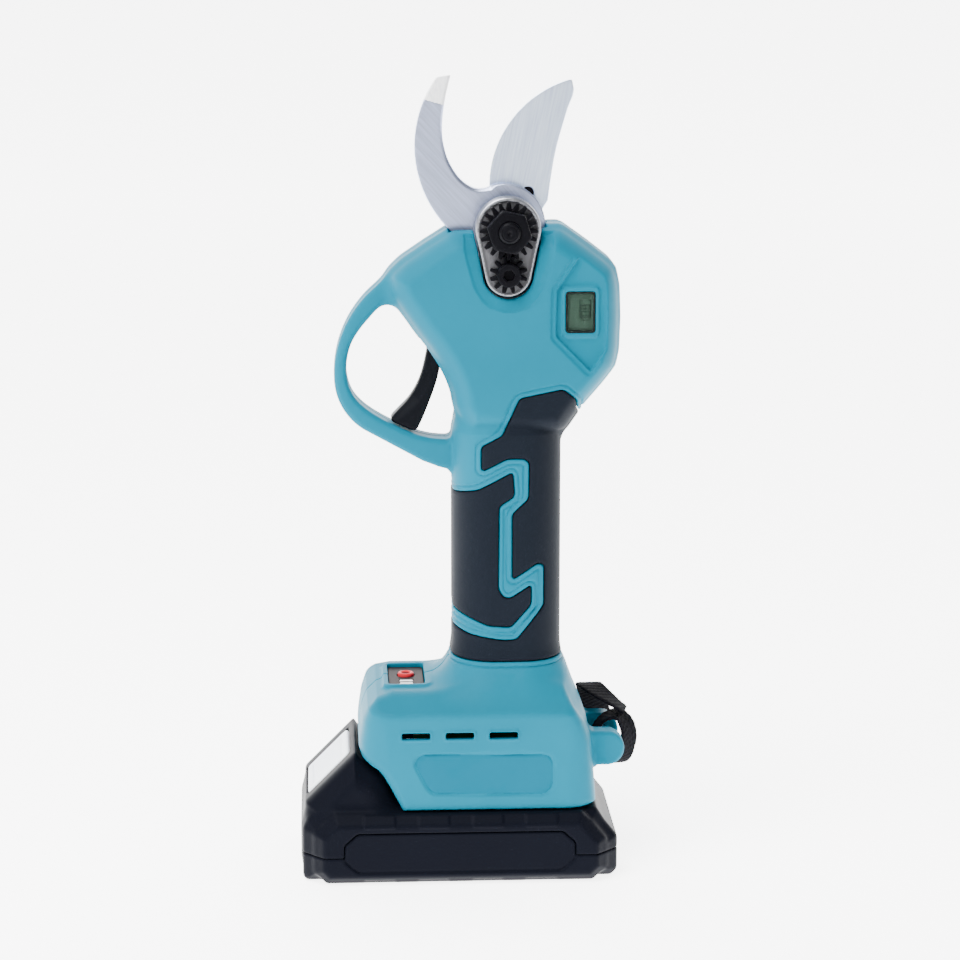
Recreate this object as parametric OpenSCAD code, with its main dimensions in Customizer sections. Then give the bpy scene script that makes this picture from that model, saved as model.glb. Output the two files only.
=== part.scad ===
// Battery electric pruner: upright motor handle, finger guard and trigger, fixed hook blade and moving
// cutting blade on a cast gear head, and a slide-on battery pack under a flared foot.
// +Z is up, -X is the side of the trigger and the battery latch, -Y is the side of the display.
// The origin is on the battery's bottom face, under the axis of the handle.

/* [Battery pack] */
// Length of the battery pack along X
battery_l = 119; // [112:1:142]
// Width of the battery pack along Y
battery_w = 74.6; // [72:0.2:88]
// Height of the battery's body, up to the face that the foot stands over
battery_h = 27; // [25:0.5:32]
// Height of the lower battery case, up to the seam
battery_seam = 11; // [8:0.5:13]
// Distance from the handle's axis to the battery's front end
battery_front = 78; // [76:0.5:90]
// Wall of the battery cases
battery_wall = 2.4; // [1.8:0.2:2.8]
// Diameter of one cell
cell_d = 18.2; // [17:0.1:18.4]

/* [Foot] */
// Height of the foot, from the battery to its flat top
foot_h = 44.2; // [42:0.5:54]
// Width of the foot along Y
foot_w = 66; // [60:1:70]
// Height of the neck between the foot and the grip
neck_h = 10.5; // [8:0.5:14]

/* [Handle] */
// Width of the handle from front to back
handle_w = 40.8; // [40:0.2:49]
// Width of the handle from side to side
handle_d = 39; // [38.6:0.2:47]
// Length of the handle between the foot's neck and the head
handle_l = 84; // [80:1:101]
// Thickness of the soft grip
grip_t = 1.6; // [1:0.1:1.8]
// Wall of the moulded housing
wall = 2.4; // [1.8:0.1:2.6]

/* [Head] */
// Width of the head from side to side
head_d = 39; // [38.6:0.2:47]
// Width of the finger guard from side to side
guard_d = 15; // [13:0.5:18]
// Height of the blade pivot over the handle's top end
pivot_rise = 78.5; // [78.5:0.5:84]

/* [Blades] */
// Thickness of the fixed hook blade
hook_t = 5; // [3:0.2:5]
// Thickness of the moving blade
blade_t = 4; // [3:0.2:4]
// Gap between the two blades
blade_gap = 0.2; // [0.1:0.05:0.3]
// Diameter of the pivot bolt
bolt_d = 8; // [6:0.5:9.5]
// Angle through which the moving blade closes
blade_close = 48; // [30:1:50]

/* [Gears] */
// Module of the planetary gears
gear_m = 0.6; // [0.5:0.05:0.6]
// Teeth of the sun gear
sun_teeth = 12;
// Teeth of each planet gear
planet_teeth = 15;
// Pitch radius of the output pinion
pinion_r = 7; // [6:0.5:7]
// Pitch radius of the gear sector on the moving blade
sector_r = 28; // [26:0.5:28]
// Teeth of the output pinion
pinion_teeth = 10;

/* [Trigger] */
// Width of the trigger from side to side
trigger_w = 12; // [10:0.5:13]

/* [Hidden] */
$fn = 64;
EPS = 0.01;
SLIDE_GAP = 0.3;      // between the battery and the foot
RUN_GAP = 0.05;       // between a shaft and its bore
FIT_GAP = 0.02;       // between a seated piece and its pocket

TEAL = [0.24, 0.58, 0.68];
DARK = [0.16, 0.17, 0.19];
STEEL = [0.78, 0.79, 0.81];
OXIDE = [0.10, 0.10, 0.11];
BRASS = [0.78, 0.62, 0.30];
BOARD = [0.05, 0.30, 0.15];

// Heights, from the ground up
foot_z = battery_h + SLIDE_GAP;
foot_top = foot_z + foot_h;
grip_z = foot_top + neck_h;
head_z = grip_z + handle_l;
pivot_z = head_z + pivot_rise;
hx = handle_w / 2;
hy = handle_d / 2;
skin = wall + 1;      // the housing's wall with the grip on it

// ---------------------------------------------------------------- helpers

// Points of an arc about c, from angle a0 to a1, in n steps.
function arc(c, r, a0, a1, n) =
    [for (i = [0:n]) let (a = a0 + (a1 - a0) * i / n) [c[0] + r * cos(a), c[1] + r * sin(a)]];

// One point of the curve that passes through b and c, between a and d.
function blend_at(a, b, c, d, t) =
    0.5 * ((2 * b) + (c - a) * t + (2 * a - 5 * b + 4 * c - d) * t * t
           + (3 * b - a - 3 * c + d) * t * t * t);

// A closed smooth curve through the points, n steps between two of them.
function smooth(p, n = 4) =
    [for (i = [0:len(p) - 1], k = [0:n - 1])
        let (m = len(p))
        blend_at(p[(i + m - 1) % m], p[i], p[(i + 1) % m], p[(i + 2) % m], k / n)];

// An open smooth curve through the points.
function curve(p, n = 4) =
    concat([for (i = [0:len(p) - 2], k = [0:n - 1])
        blend_at(p[max(i - 1, 0)], p[i], p[i + 1], p[min(i + 2, len(p) - 1)], k / n)],
        [p[len(p) - 1]]);

// Outline of a gear: z teeth, pitch radius r, addendum a, dedendum d; fill is the tooth's share of the
// pitch. A tooth is centred on angle 0.
function gear_points(z, r, a, d, fill = 0.44) =
    [for (i = [0:z - 1], k = [0:5])
        let (pitch = 360 / z, half = pitch * fill / 2, mid = i * pitch,
             off = [-1.5, -1, -0.5, 0.5, 1, 1.5][k] * half,
             rad = [r - d, r, r + a, r + a, r, r - d][k])
        [rad * cos(mid + off), rad * sin(mid + off)]];

// Lays a 2D outline (X, Z) upright and gives it the depth from y0 to y1.
module upright(y0, y1) {
    translate([0, y1, 0]) rotate([90, 0, 0]) linear_extrude(y1 - y0) children();
}

// A cylinder along Y, from y0 to y1.
module rod_y(r, y0, y1, x = 0, z = 0) {
    translate([x, y1, z]) rotate([90, 0, 0]) cylinder(r = r, h = y1 - y0);
}

// A cylinder along Z, from z0 to z1.
module rod_z(r, z0, z1, x = 0, y = 0) {
    translate([x, y, z0]) cylinder(r = r, h = z1 - z0);
}

// A box from one corner to the opposite one.
module block(a, b) {
    translate(a) cube(b - a);
}

// A coil of n rings, wire radius w, mean radius r, between z0 and z1.
module coil(r, w, n, z0, z1) {
    for (i = [0:n - 1])
        translate([0, 0, z0 + w + (z1 - z0 - 2 * w) * i / (n - 1)])
            rotate_extrude() translate([r, 0]) circle(r = w, $fn = 16);
}

// ---------------------------------------------------------------- outlines

// Side view of the head with its finger guard, measured from the pivot.
module head_outline() {
    polygon(concat(
        [[-hx + 4, -pivot_rise - 20], [-hx - 0.1, -93.2], [-22.3, -91.2], [-25.3, -90.4]],
        arc([-40.9, -56], 23.5, 238, 180, 10),
        arc([-20.6, -55.5], 43.8, 179, 128, 12),
        [[-43.6, -16.9], [-38.8, -12.4], [-29.7, -6.3], [-20.6, -0.6], [19.1, 0.4], [21, -0.4],
         [37.7, -12.9], [39.9, -15.6], [41.2, -22], [41.6, -30], [41.3, -46], [40, -51.8],
         [28, -66.4], [21.5, -75.9], [hx + 0.1, -pivot_rise], [hx - 4, -pivot_rise - 12]]));
}

// The finger loop inside the guard.
FINGER_LOOP = [[-43.6, -27.8], [-49.5, -31.2], [-56, -40], [-59.4, -50], [-58.5, -60], [-53, -67.5],
    [-43.5, -73.6], [-33, -77.9], [-24, -79.9], [-19.5, -77.5], [-19.1, -67.3], [-21.8, -57.5],
    [-29, -45], [-38, -32.5]];

// The part of the head that has its full width: all of it but the guard.
module core_zone() {
    polygon([[-36, 5], [-36, -24], [-28, -36], [-24, -50], [-22, -60], [-18, -pivot_rise - 12],
             [60, -pivot_rise - 12], [60, 5]]);
}

// Pear-shaped outline of the gear head's boss, grown by g.
boss_r = 12.1;
lock_r = 8.9;
lock_drop = 16;
module pear(g = 0) {
    lean = asin((boss_r - lock_r) / lock_drop);
    big = boss_r + g;
    small = lock_r + g;
    circle(r = big);
    translate([0, -lock_drop]) circle(r = small);
    polygon([[big * cos(lean), -big * sin(lean)], [small * cos(lean), -lock_drop - small * sin(lean)],
             [-small * cos(lean), -lock_drop - small * sin(lean)], [-big * cos(lean), -big * sin(lean)]]);
}

// Cross-section of the handle, shrunk by g.
module handle_section(g = 0) {
    r = 16;
    hull() for (sx = [-1, 1], sy = [-1, 1])
        translate([sx * (hx - r), sy * (hy - r)]) circle(r = r - g, $fn = 48);
}

// Side view of the foot.
FOOT_BACK = 34;
FOOT_FRONT = -56.8;
module foot_outline() {
    t = foot_top;
    b = foot_z;
    polygon(concat(
        [[-40.2, b], [-47.4, b + 13.6], [-52.3, b + 16.9], [-56, b + 19.8], [FOOT_FRONT, b + 23],
         [FOOT_FRONT, b + 27]],
        [[-55.2, t - 10], [-52.5, t - 4.5], [-47.5, t - 1], [-42, t], [hx, t], [22.1, t - 2.5],
         [25.2, t - 6.7], [27.6, t - 10.4], [29.6, t - 14.5], [31.2, t - 19.4], [33.2, t - 37],
         [FOOT_BACK, b]]));
}

// The foot seen from above, shrunk by g.
module foot_plan(g = 0) {
    r = 13;
    hull() for (x = [FOOT_FRONT + r - 1, FOOT_BACK - r + 1], s = [-1, 1])
        translate([x, s * (foot_w / 2 - r)]) circle(r = r - g, $fn = 48);
}

// ---------------------------------------------------------------- housing

// Layers of the head: half depth and how far each is drawn in from the outline.
HEAD_LAYERS = [[head_d / 2 - 5.5, 0], [head_d / 2 - 2, 2], [head_d / 2, 4.5]];
LUG_X = 38;
LUG_Z = foot_z + 18.9;
LUG_R = 6.6;
LUG_IN = 8;
LUG_OUT = 17;

// Outside of both half shells together.
module housing_outer() {
    translate([0, 0, pivot_z]) {
        for (layer = HEAD_LAYERS)
            upright(-layer[0], layer[0]) offset(delta = -layer[1])
                intersection() { head_outline(); core_zone(); }
        upright(-guard_d / 2, guard_d / 2) difference() {
            head_outline();
            polygon(smooth(FINGER_LOOP));
        }
    }
    translate([0, 0, foot_top - 2]) linear_extrude(head_z - foot_top + 6) handle_section();
    intersection() {
        upright(-foot_w / 2 - 1, foot_w / 2 + 1) foot_outline();
        translate([0, 0, foot_z - 1]) linear_extrude(foot_h + 2) foot_plan();
    }
    for (s = [-1, 1])
        upright(min(s * LUG_IN, s * LUG_OUT), max(s * LUG_IN, s * LUG_OUT)) {
            translate([LUG_X, LUG_Z]) circle(r = LUG_R);
            translate([LUG_X - 10, LUG_Z - LUG_R]) square([10, 2 * LUG_R]);
        }
}

// The room inside the head, the handle and the foot.
rail_z = foot_z + 10.7;         // underside of the foot's floor
floor_z = rail_z + wall;        // top of the foot's floor
module housing_inner() {
    translate([0, 0, pivot_z])
        for (layer = HEAD_LAYERS)
            upright(-layer[0] + wall, layer[0] - wall) offset(delta = -layer[1] - wall)
                intersection() { head_outline(); core_zone(); }
    translate([0, 0, foot_top - 4]) linear_extrude(head_z - foot_top + 12) handle_section(skin);
    intersection() {
        upright(-foot_w / 2, foot_w / 2) offset(delta = -wall) foot_outline();
        translate([0, 0, floor_z]) linear_extrude(foot_h) foot_plan(wall);
    }
}

// Front face of the body where the trigger comes out.
module trigger_slot() {
    translate([0, 0, pivot_z]) upright(-trigger_w / 2 - 0.6, trigger_w / 2 + 0.6)
        polygon([[-33, -43], [-29.5, -35], [-29.5, -25.5], [-17.5, -25.5], [-16.2, -40], [-16.2, -66],
                 [-20, -72], [-26, -72]]);
}

// Groove under the foot that takes the battery's rail, open to the front.
RAIL_W = 23.6;
RAIL_NECK = 20;
RAIL_BACK = 30;
module rail_groove() {
    block([-90, -RAIL_NECK - 0.4, foot_z - 1], [RAIL_BACK + 0.6, RAIL_NECK + 0.4, rail_z]);
    block([-90, -RAIL_W - 0.4, foot_z + 5.6], [RAIL_BACK + 0.6, RAIL_W + 0.4, rail_z]);
}

// Housing screws: place, depth of the head's seat on the right side, and the boss's reach each way.
SCREWS = [[-31.5, pivot_z - 13, 10, head_d / 2 - 3.1], [35, pivot_z - 16.5, 10, head_d / 2 - 3.1],
          [33, pivot_z - 50, 10, head_d / 2 - 1.2], [-27, pivot_z - 84.6, 4.5, 0],
          [-50, foot_top - 14, 12, foot_w / 2 - 2.6], [26.5, foot_top - 20, 12, foot_w / 2 - 2.4]];
SCREW_R = 1.5;
SCREW_HEAD_R = 3;
module screw_bosses() {
    for (s = SCREWS) if (s[3] > 0) {
        rod_y(3.6, -s[3], 0.5, s[0], s[1]);
        rod_y(4.6, 0, s[3], s[0], s[1]);
    }
}
module screw_holes(side) {
    for (s = SCREWS)
        if (side < 0) rod_y(SCREW_R, -s[2] - 1, 1, s[0], s[1]);
        else {
            rod_y(SCREW_R + 0.2, -1, 50, s[0], s[1]);
            rod_y(SCREW_HEAD_R + 0.2, s[2] - 2.6, 50, s[0], s[1]);
        }
}

// Ribs that hold the motor and the gearbox in the handle.
can_r = 15;
ring_r = 14.5;
motor_z = grip_z + 12;
gear_z = motor_z + 58;
module ribs() {
    for (z = [motor_z + 6, motor_z + 46])
        translate([0, 0, z]) linear_extrude(2) difference() {
            handle_section(skin - 0.2);
            circle(r = can_r + 0.1);
        }
}

// Display window and button panel openings.
LCD_X = 26.6;
LCD_Z = pivot_z - 30.2;
LCD_W = 10.6;
LCD_H = 14.9;
PANEL_X = -38;
PANEL_L = 28;
PANEL_W = 13.6;
PANEL_T = 2.1;
VENT_X = [-35.2, -18.8, -2.4];
VENT_L = 10.8;
VENT_Z = foot_top - 14.8;

// Both half shells before they are parted.
module housing() {
    difference() {
        union() {
            difference() {
                housing_outer();
                difference() {
                    housing_inner();
                    ribs();
                }
            }
            screw_bosses();
        }
        trigger_slot();
        rail_groove();
        translate([0, 0, pivot_z]) {
            upright(-60, -4) pear(0.5);
            upright(4, 60) pear(0.5);
            upright(-9, 9) polygon([[-24, 6], [-20.6, -5], [14.6, -5], [14.6, 6]]);
        }
        for (x = VENT_X, s = [-1, 1])
            block([x - VENT_L / 2, s * foot_w / 2 - 3, VENT_Z - 1.2],
                  [x + VENT_L / 2, s * foot_w / 2 + 3, VENT_Z + 1.2]);
        block([PANEL_X - PANEL_W / 2 - 0.1, -PANEL_L / 2 - 0.1, foot_top - wall - 1],
              [PANEL_X + PANEL_W / 2 + 0.1, PANEL_L / 2 + 0.1, foot_top + 1]);
        grip_cutter();
        // the latch hook's notch, open to the front
        block([-60, -6.6, rail_z - 1], [LATCH_HOOK_X + 2.6, 6.6, floor_z + 3]);
        for (y = TERMINALS)
            block([11.4, y - 0.6, rail_z - 1], [24.6, y + 0.6, floor_z + 1]);
        rod_y(STRAP_PIN_R, -LUG_OUT + 2, LUG_OUT - 2, LUG_X, LUG_Z);
    }
}

module housing_left() {
    color(TEAL) difference() {
        intersection() {
            housing();
            block([-100, -60, 0], [100, 0, 400]);
        }
        screw_holes(-1);
        translate([LCD_X, 0, LCD_Z]) {
            block([-LCD_W / 2, -60, -LCD_H / 2], [LCD_W / 2, 0, LCD_H / 2]);
            block([-LCD_W / 2 - 1.5, -head_d / 2 + 1.2, -LCD_H / 2 - 1.5],
                  [LCD_W / 2 + 1.5, -5, LCD_H / 2 + 1.5]);
        }
    }
}

module housing_right() {
    color(TEAL) difference() {
        intersection() {
            housing();
            block([-100, 0, 0], [100, 60, 400]);
        }
        screw_holes(1);
    }
}

// ---------------------------------------------------------------- grip

// Side view of the two grip panels: the upper one runs down the back and round the bottom, the lower
// one fills the front, and the housing shows as a stripe between them.
GRIP_UPPER = [[4, 18], [13.5, 19], [19.5, 21.5], [25.2, 17.6], [25.8, 13], [32, 5],
    [32, -handle_l], [-30, -handle_l], [-30, -69], [-14.8, -72], [-1.9, -74], [3.2, -73.8],
    [13.6, -61], [13.6, -45.6], [11, -44.3], [1.6, -50.5], [1.6, -25.5], [7.8, -19.7], [7.9, -5.8],
    [5.8, -4.3], [-0.5, -4.3], [-9.9, -9.2], [-9.9, 0], [-2, 4.4]];
GRIP_LOWER = [[-30, -17.5], [-20.9, -18.8], [-11.3, -16.6], [1.6, -9.6], [2.3, -18.6], [-3.5, -22.4],
    [-3.8, -54.1], [-1.9, -57.4], [1, -57.8], [8.6, -52.8], [8.6, -60.2], [1, -68.8], [-7.6, -68.2],
    [-30, -62]];

// Everything outside the housing's skin in the area of the two panels.
module grip_cutter() {
    difference() {
        translate([0, 0, head_z]) {
            upright(-60, 60) polygon(GRIP_UPPER);
            upright(-60, 60) polygon(GRIP_LOWER);
        }
        translate([0, 0, foot_top - 3]) linear_extrude(head_z - foot_top + 8) handle_section(grip_t);
        translate([0, 0, pivot_z])
            for (layer = HEAD_LAYERS)
                upright(-layer[0] + grip_t, layer[0] - grip_t) offset(delta = -layer[1] - grip_t)
                    intersection() { head_outline(); core_zone(); }
    }
}

module grip_half(y0, y1) {
    intersection() {
        housing_outer();
        grip_cutter();
        block([-100, y0, 0], [100, y1, 400]);
    }
}
module grip_left() {
    color(DARK) grip_half(-60, 0);
}
module grip_right() {
    color(DARK) grip_half(0, 60);
}

// ---------------------------------------------------------------- gear head and blades

hook_y1 = -blade_gap / 2;
hook_y0 = hook_y1 - hook_t;
blade_y0 = blade_gap / 2;
blade_y1 = blade_y0 + blade_t;
boss_front = -16.2;
boss_back = -8.8;
rear_front = 13.2;
rear_back = 16.4;
nose_r = 14.6;
nose_z0 = gear_z + 18;
nose_z1 = pivot_z - 39.5;
shaft_r = 4;
bearing_r = 9.5;
bearing_h = 6;

module gear_head() {
    color([0.66, 0.66, 0.68]) difference() {
        union() {
            translate([0, 0, pivot_z]) {
                upright(boss_front, boss_back) pear();
                upright(boss_back - 1, hook_y0) circle(r = 10);
                upright(rear_front, rear_back) pear();
                upright(-14.4, -9.2) translate([-8, -52]) square([16, 40]);
                upright(rear_front, rear_back - 1) translate([-8, -52]) square([16, 40]);
            }
            rod_z(nose_r, nose_z0, nose_z1);
        }
        rod_y(bolt_d / 2 + RUN_GAP, -40, 40, 0, pivot_z);
        rod_y(2.5 + FIT_GAP, boss_front - 1, boss_back + 1, 0, pivot_z - lock_drop);
        rod_z(7, nose_z0 - 1, nose_z1 + 1);
        for (z = [nose_z0 - 1, nose_z1 - bearing_h])
            rod_z(bearing_r + FIT_GAP, z, z + bearing_h + 1);
    }
}

module output_bearings() {
    color(STEEL) for (z = [nose_z0, nose_z1 - bearing_h])
        translate([0, 0, z]) difference() {
            cylinder(r = bearing_r, h = bearing_h);
            translate([0, 0, -1]) cylinder(r = shaft_r + RUN_GAP, h = bearing_h + 2);
        }
}

module fixed_blade() {
    outer = arc([9, 29.5], 43, 249.5, 144, 18);
    inner = curve([[-20.6, 55.4], [-22.7, 46.6], [-23.7, 38], [-23.2, 30.5], [-21.2, 24], [-17, 17.4],
                   [-11.5, 14], [-6, 14.6]], 5);
    color(STEEL) translate([0, 0, pivot_z]) difference() {
        union() {
            upright(hook_y0, hook_y1) polygon(concat(outer, [[-20.7, 55.6]], inner, [[0, 10], [-2, -10]]));
            rod_y(15.2, hook_y0, hook_y1, -0.8, 0.5);
        }
        rod_y(bolt_d / 2 + RUN_GAP, -20, 20);
    }
}

// Outline of the moving blade above its hub: convex cutting edge, narrow tip, hollow back.
module blade_outline() {
    polygon(concat(arc([34.8, 14.4], 41, 184, 107, 16), [[24.2, 54], [25.2, 49.9], [24.7, 47.5]],
                   curve([[22.9, 43.1], [18.9, 29.1], [16.8, 17.5], [15.7, 9]], 4),
                   [[12.6, 4.2], [0, -6], [-9, 3]]));
}
BLADE_HUB_R = 13.2;

// Flush screws that join the moving blade to its gear: angle and distance from the pivot.
SECTOR_SCREWS = [[55.7, 14.3], [235, 9]];
module at_sector_screws() {
    for (s = SECTOR_SCREWS) translate([s[1] * cos(s[0]), 0, s[1] * sin(s[0])]) children();
}

module cutting_blade() {
    color(STEEL) translate([0, 0, pivot_z]) difference() {
        union() {
            upright(blade_y0, blade_y1) blade_outline();
            rod_y(BLADE_HUB_R, blade_y0, blade_y1);
        }
        rod_y(bolt_d / 2 + RUN_GAP, -20, 20);
        at_sector_screws() {
            rod_y(1.5 + FIT_GAP, -20, 20);
            rod_y(2.3, blade_y0 - 1, blade_y0 + 2);
        }
    }
}

// Gear sector: a plate behind the blade whose face teeth point at the pinion.
tooth_step = 360 * pinion_r / (sector_r * pinion_teeth);
SECTOR_FIRST = -1;
SECTOR_LAST = ceil(blade_close / tooth_step);
sector_y = pinion_r + 1.7;       // face of the plate, at the roots of its teeth
SECTOR_BACK = rear_front - 0.5;
module sector_wedge(r0, r1, a0, a1) {
    polygon(concat(arc([0, 0], r0, a0, a1, 8), arc([0, 0], r1, a1, a0, 8)));
}
module gear_sector() {
    a0 = -90 - (SECTOR_LAST + 0.5) * tooth_step;
    a1 = -90 - (SECTOR_FIRST - 0.5) * tooth_step;
    color(STEEL) translate([0, 0, pivot_z]) difference() {
        union() {
            upright(sector_y, SECTOR_BACK) {
                sector_wedge(5, sector_r + 4, a0, a1);
                circle(r = 11);
            }
            upright(blade_y1, sector_y + EPS) {
                circle(r = 11.5);
                hull() for (r = [0, SECTOR_SCREWS[0][1]])
                    translate([r * cos(55), r * sin(55)]) circle(r = 3.8, $fn = 32);
            }
            for (k = [SECTOR_FIRST:SECTOR_LAST]) {
                mid = -90 - k * tooth_step;
                upright(pinion_r + 0.2, sector_y + 1)
                    sector_wedge(sector_r - 4, sector_r + 4, mid - 0.215 * tooth_step,
                                 mid + 0.215 * tooth_step);
                upright(pinion_r - 1.1, pinion_r + 0.3)
                    sector_wedge(sector_r - 4, sector_r + 4, mid - 0.12 * tooth_step,
                                 mid + 0.12 * tooth_step);
            }
        }
        rod_y(bolt_d / 2 + RUN_GAP, -20, 20);
        at_sector_screws() rod_y(1.5 + FIT_GAP, 0, sector_y - 1);
    }
}

module sector_screws() {
    color(OXIDE) translate([0, 0, pivot_z]) at_sector_screws() {
        rod_y(2.2, blade_y0, blade_y0 + 2);
        rod_y(1.5, blade_y0 + 1, sector_y - 1.2);
    }
}

NUT_AF = 14.6;
WASHER_T = 3;
module pivot_bolt() {
    color(OXIDE) {
        rod_y(bolt_d / 2, boss_front - WASHER_T - 6.6, rear_back + 1, 0, pivot_z);
        translate([0, rear_back + 5, pivot_z]) rotate([90, 0, 0])
            cylinder(d = 13 / cos(30), h = 5, $fn = 6);
    }
}

module pivot_nut() {
    color(OXIDE) translate([0, boss_front - WASHER_T, pivot_z]) rotate([90, -47.5, 0]) difference() {
        cylinder(d = NUT_AF / cos(30), h = 5, $fn = 6);
        translate([0, 0, -1]) cylinder(r = bolt_d / 2 + FIT_GAP, h = 7);
    }
}

// The toothed washer and the small toothed wheel that locks it.
module lock_washer() {
    color(OXIDE) translate([0, 0, pivot_z]) upright(boss_front - WASHER_T, boss_front) difference() {
        polygon(gear_points(20, 10, 0.7, 1.2));
        circle(r = bolt_d / 2 + FIT_GAP);
    }
}

module lock_pinion() {
    color(OXIDE) translate([0, 0, pivot_z - lock_drop]) upright(boss_front - WASHER_T, boss_front)
        difference() {
            rotate(15) polygon(gear_points(12, 6, 0.9, 0.9));
            circle(r = 2.5 + FIT_GAP);
        }
}

module lock_screw() {
    color(OXIDE) translate([0, 0, pivot_z - lock_drop]) {
        rod_y(2.5, boss_front - WASHER_T - 1, boss_back - 1);
        difference() {
            rod_y(4.35, boss_front - WASHER_T - 3, boss_front - WASHER_T);
            translate([0, boss_front - WASHER_T - 1, 0]) rotate([90, 0, 0])
                cylinder(d = 4.6, h = 5, $fn = 6);
        }
    }
}

// ---------------------------------------------------------------- gearbox and motor

sun_r = gear_m * sun_teeth / 2;
planet_r = gear_m * planet_teeth / 2;
ring_teeth = sun_teeth + 2 * planet_teeth;
ring_pitch_r = gear_m * ring_teeth / 2;
planet_c = sun_r + planet_r;
face_z0 = gear_z + 2.5;
face_z1 = gear_z + 10;
ADD = 0.5;
DED = 0.62;

module drive_pinion() {
    color(STEEL) translate([0, 0, pivot_z - sector_r - 4.6]) difference() {
        linear_extrude(9.2) polygon(gear_points(pinion_teeth, pinion_r, 1.1, 1.3, 0.4));
        translate([0, 0, -1]) cylinder(r = shaft_r + FIT_GAP, h = 12);
    }
}

module planet_carrier() {
    plate = face_z1 + 0.8;
    color(STEEL) {
        rod_z(planet_c + 2.6, plate, plate + 4);
        rod_z(shaft_r, plate + 1, pivot_z - sector_r + 4.4);
        for (k = [0:2])
            rod_z(1.5, face_z0, plate + 1, planet_c * cos(120 * k), planet_c * sin(120 * k));
    }
}

module planet_gear(k) {
    color(BRASS) rotate(120 * k) translate([planet_c, 0, face_z0]) difference() {
        linear_extrude(face_z1 - face_z0)
            polygon(gear_points(planet_teeth, planet_r, ADD * gear_m * 2, DED * gear_m * 2, 0.42));
        translate([0, 0, -1]) cylinder(r = 1.5 + RUN_GAP, h = 20);
    }
}
module planet_gear_1() { planet_gear(0); }
module planet_gear_2() { planet_gear(1); }
module planet_gear_3() { planet_gear(2); }

module ring_gear() {
    color([0.55, 0.56, 0.58]) difference() {
        rod_z(ring_r, gear_z, nose_z0);
        translate([0, 0, gear_z - 1]) linear_extrude(face_z1 - gear_z + 1.5)
            polygon(gear_points(ring_teeth, ring_pitch_r, DED * gear_m * 2, ADD * gear_m * 2, 0.54));
        rod_z(planet_c + 3.2, face_z1, nose_z0 + 1);
    }
}

rotor_r = 9.5;
module sun_gear() {
    color(STEEL) translate([0, 0, gear_z + 1.5]) difference() {
        linear_extrude(face_z1 - gear_z - 1.5)
            polygon(gear_points(sun_teeth, sun_r, ADD * gear_m * 2, DED * gear_m * 2, 0.42));
        translate([0, 0, -1]) cylinder(r = 2 + FIT_GAP, h = 20);
    }
}

can_z1 = gear_z - 4;
module motor_can() {
    color([0.35, 0.36, 0.38]) difference() {
        rod_z(can_r, motor_z, gear_z);
        rod_z(can_r - 1, motor_z - 1, can_z1);
        rod_z(4.5 + FIT_GAP, can_z1 - 1, gear_z - 1);
        rod_z(3, can_z1 - 1, gear_z + 1);
    }
}

module stator() {
    color([0.62, 0.40, 0.22]) difference() {
        rod_z(can_r - 1 - FIT_GAP, motor_z + 4, can_z1 - 4);
        rod_z(rotor_r + 0.6, motor_z, can_z1);
        for (k = [0:5]) rotate(60 * k)
            translate([rotor_r + 2.2, 0, motor_z]) cylinder(r = 0.9, h = 60);
    }
}

module rotor() {
    color([0.70, 0.71, 0.73]) {
        rod_z(rotor_r, motor_z + 6, can_z1 - 6);
        rod_z(2, motor_z - 3.5, face_z1);
    }
}

module motor_bearings() {
    color(STEEL) for (z = [can_z1, motor_z - 3])
        translate([0, 0, z]) difference() {
            cylinder(r = 4.5, h = 3);
            translate([0, 0, -1]) cylinder(r = 2 + RUN_GAP, h = 6);
        }
}

module motor_end_cap() {
    color(DARK) difference() {
        union() {
            rod_z(can_r, motor_z - 4, motor_z);
            rod_z(can_r - 1 - FIT_GAP, motor_z - EPS, motor_z + 2);
        }
        rod_z(4.5 + FIT_GAP, motor_z - 3, motor_z + 3);
        rod_z(3, motor_z - 5, motor_z);
    }
}

// ---------------------------------------------------------------- trigger

TRIGGER_X = -24;
TRIGGER_Z = pivot_z - 31.5;
module trigger() {
    shape = smooth([[-28.4, -36], [-29.8, -46], [-31.9, -56], [-35.6, -63.2], [-39.9, -68.4],
                    [-42.6, -71], [-41.6, -73.6], [-37.5, -75.1], [-34.6, -75.2], [-32.4, -72.8],
                    [-29.4, -66.5], [-26, -58], [-24.2, -50], [-22, -42], [-21.6, -36]]);
    color(DARK) difference() {
        union() {
            translate([0, 0, pivot_z]) upright(-trigger_w / 2, trigger_w / 2) polygon(shape);
            rod_y(4.6, -trigger_w / 2, trigger_w / 2, TRIGGER_X, TRIGGER_Z);
        }
        rod_y(1.5 + RUN_GAP, -20, 20, TRIGGER_X, TRIGGER_Z);
        rod_y(3.9, 2, 20, TRIGGER_X, TRIGGER_Z);
        rod_y(2 + FIT_GAP, -2, 2, -24.2, pivot_z - 51);
    }
}

module trigger_magnet() {
    color(STEEL) rod_y(2, -2, 2, -24.2, pivot_z - 51);
}

module trigger_pin() {
    color(STEEL) rod_y(1.5, -9.5, 9.5, TRIGGER_X, TRIGGER_Z);
}

module trigger_spring() {
    color(STEEL) translate([TRIGGER_X, 0, TRIGGER_Z]) rotate([-90, 0, 0]) coil(2.9, 0.4, 4, 2.2, 5.8);
}

module trigger_board() {
    color(BOARD) block([-16.4, -7, pivot_z - 54], [-15.2, 7, pivot_z - 42]);
}

// ---------------------------------------------------------------- display and buttons

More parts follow.
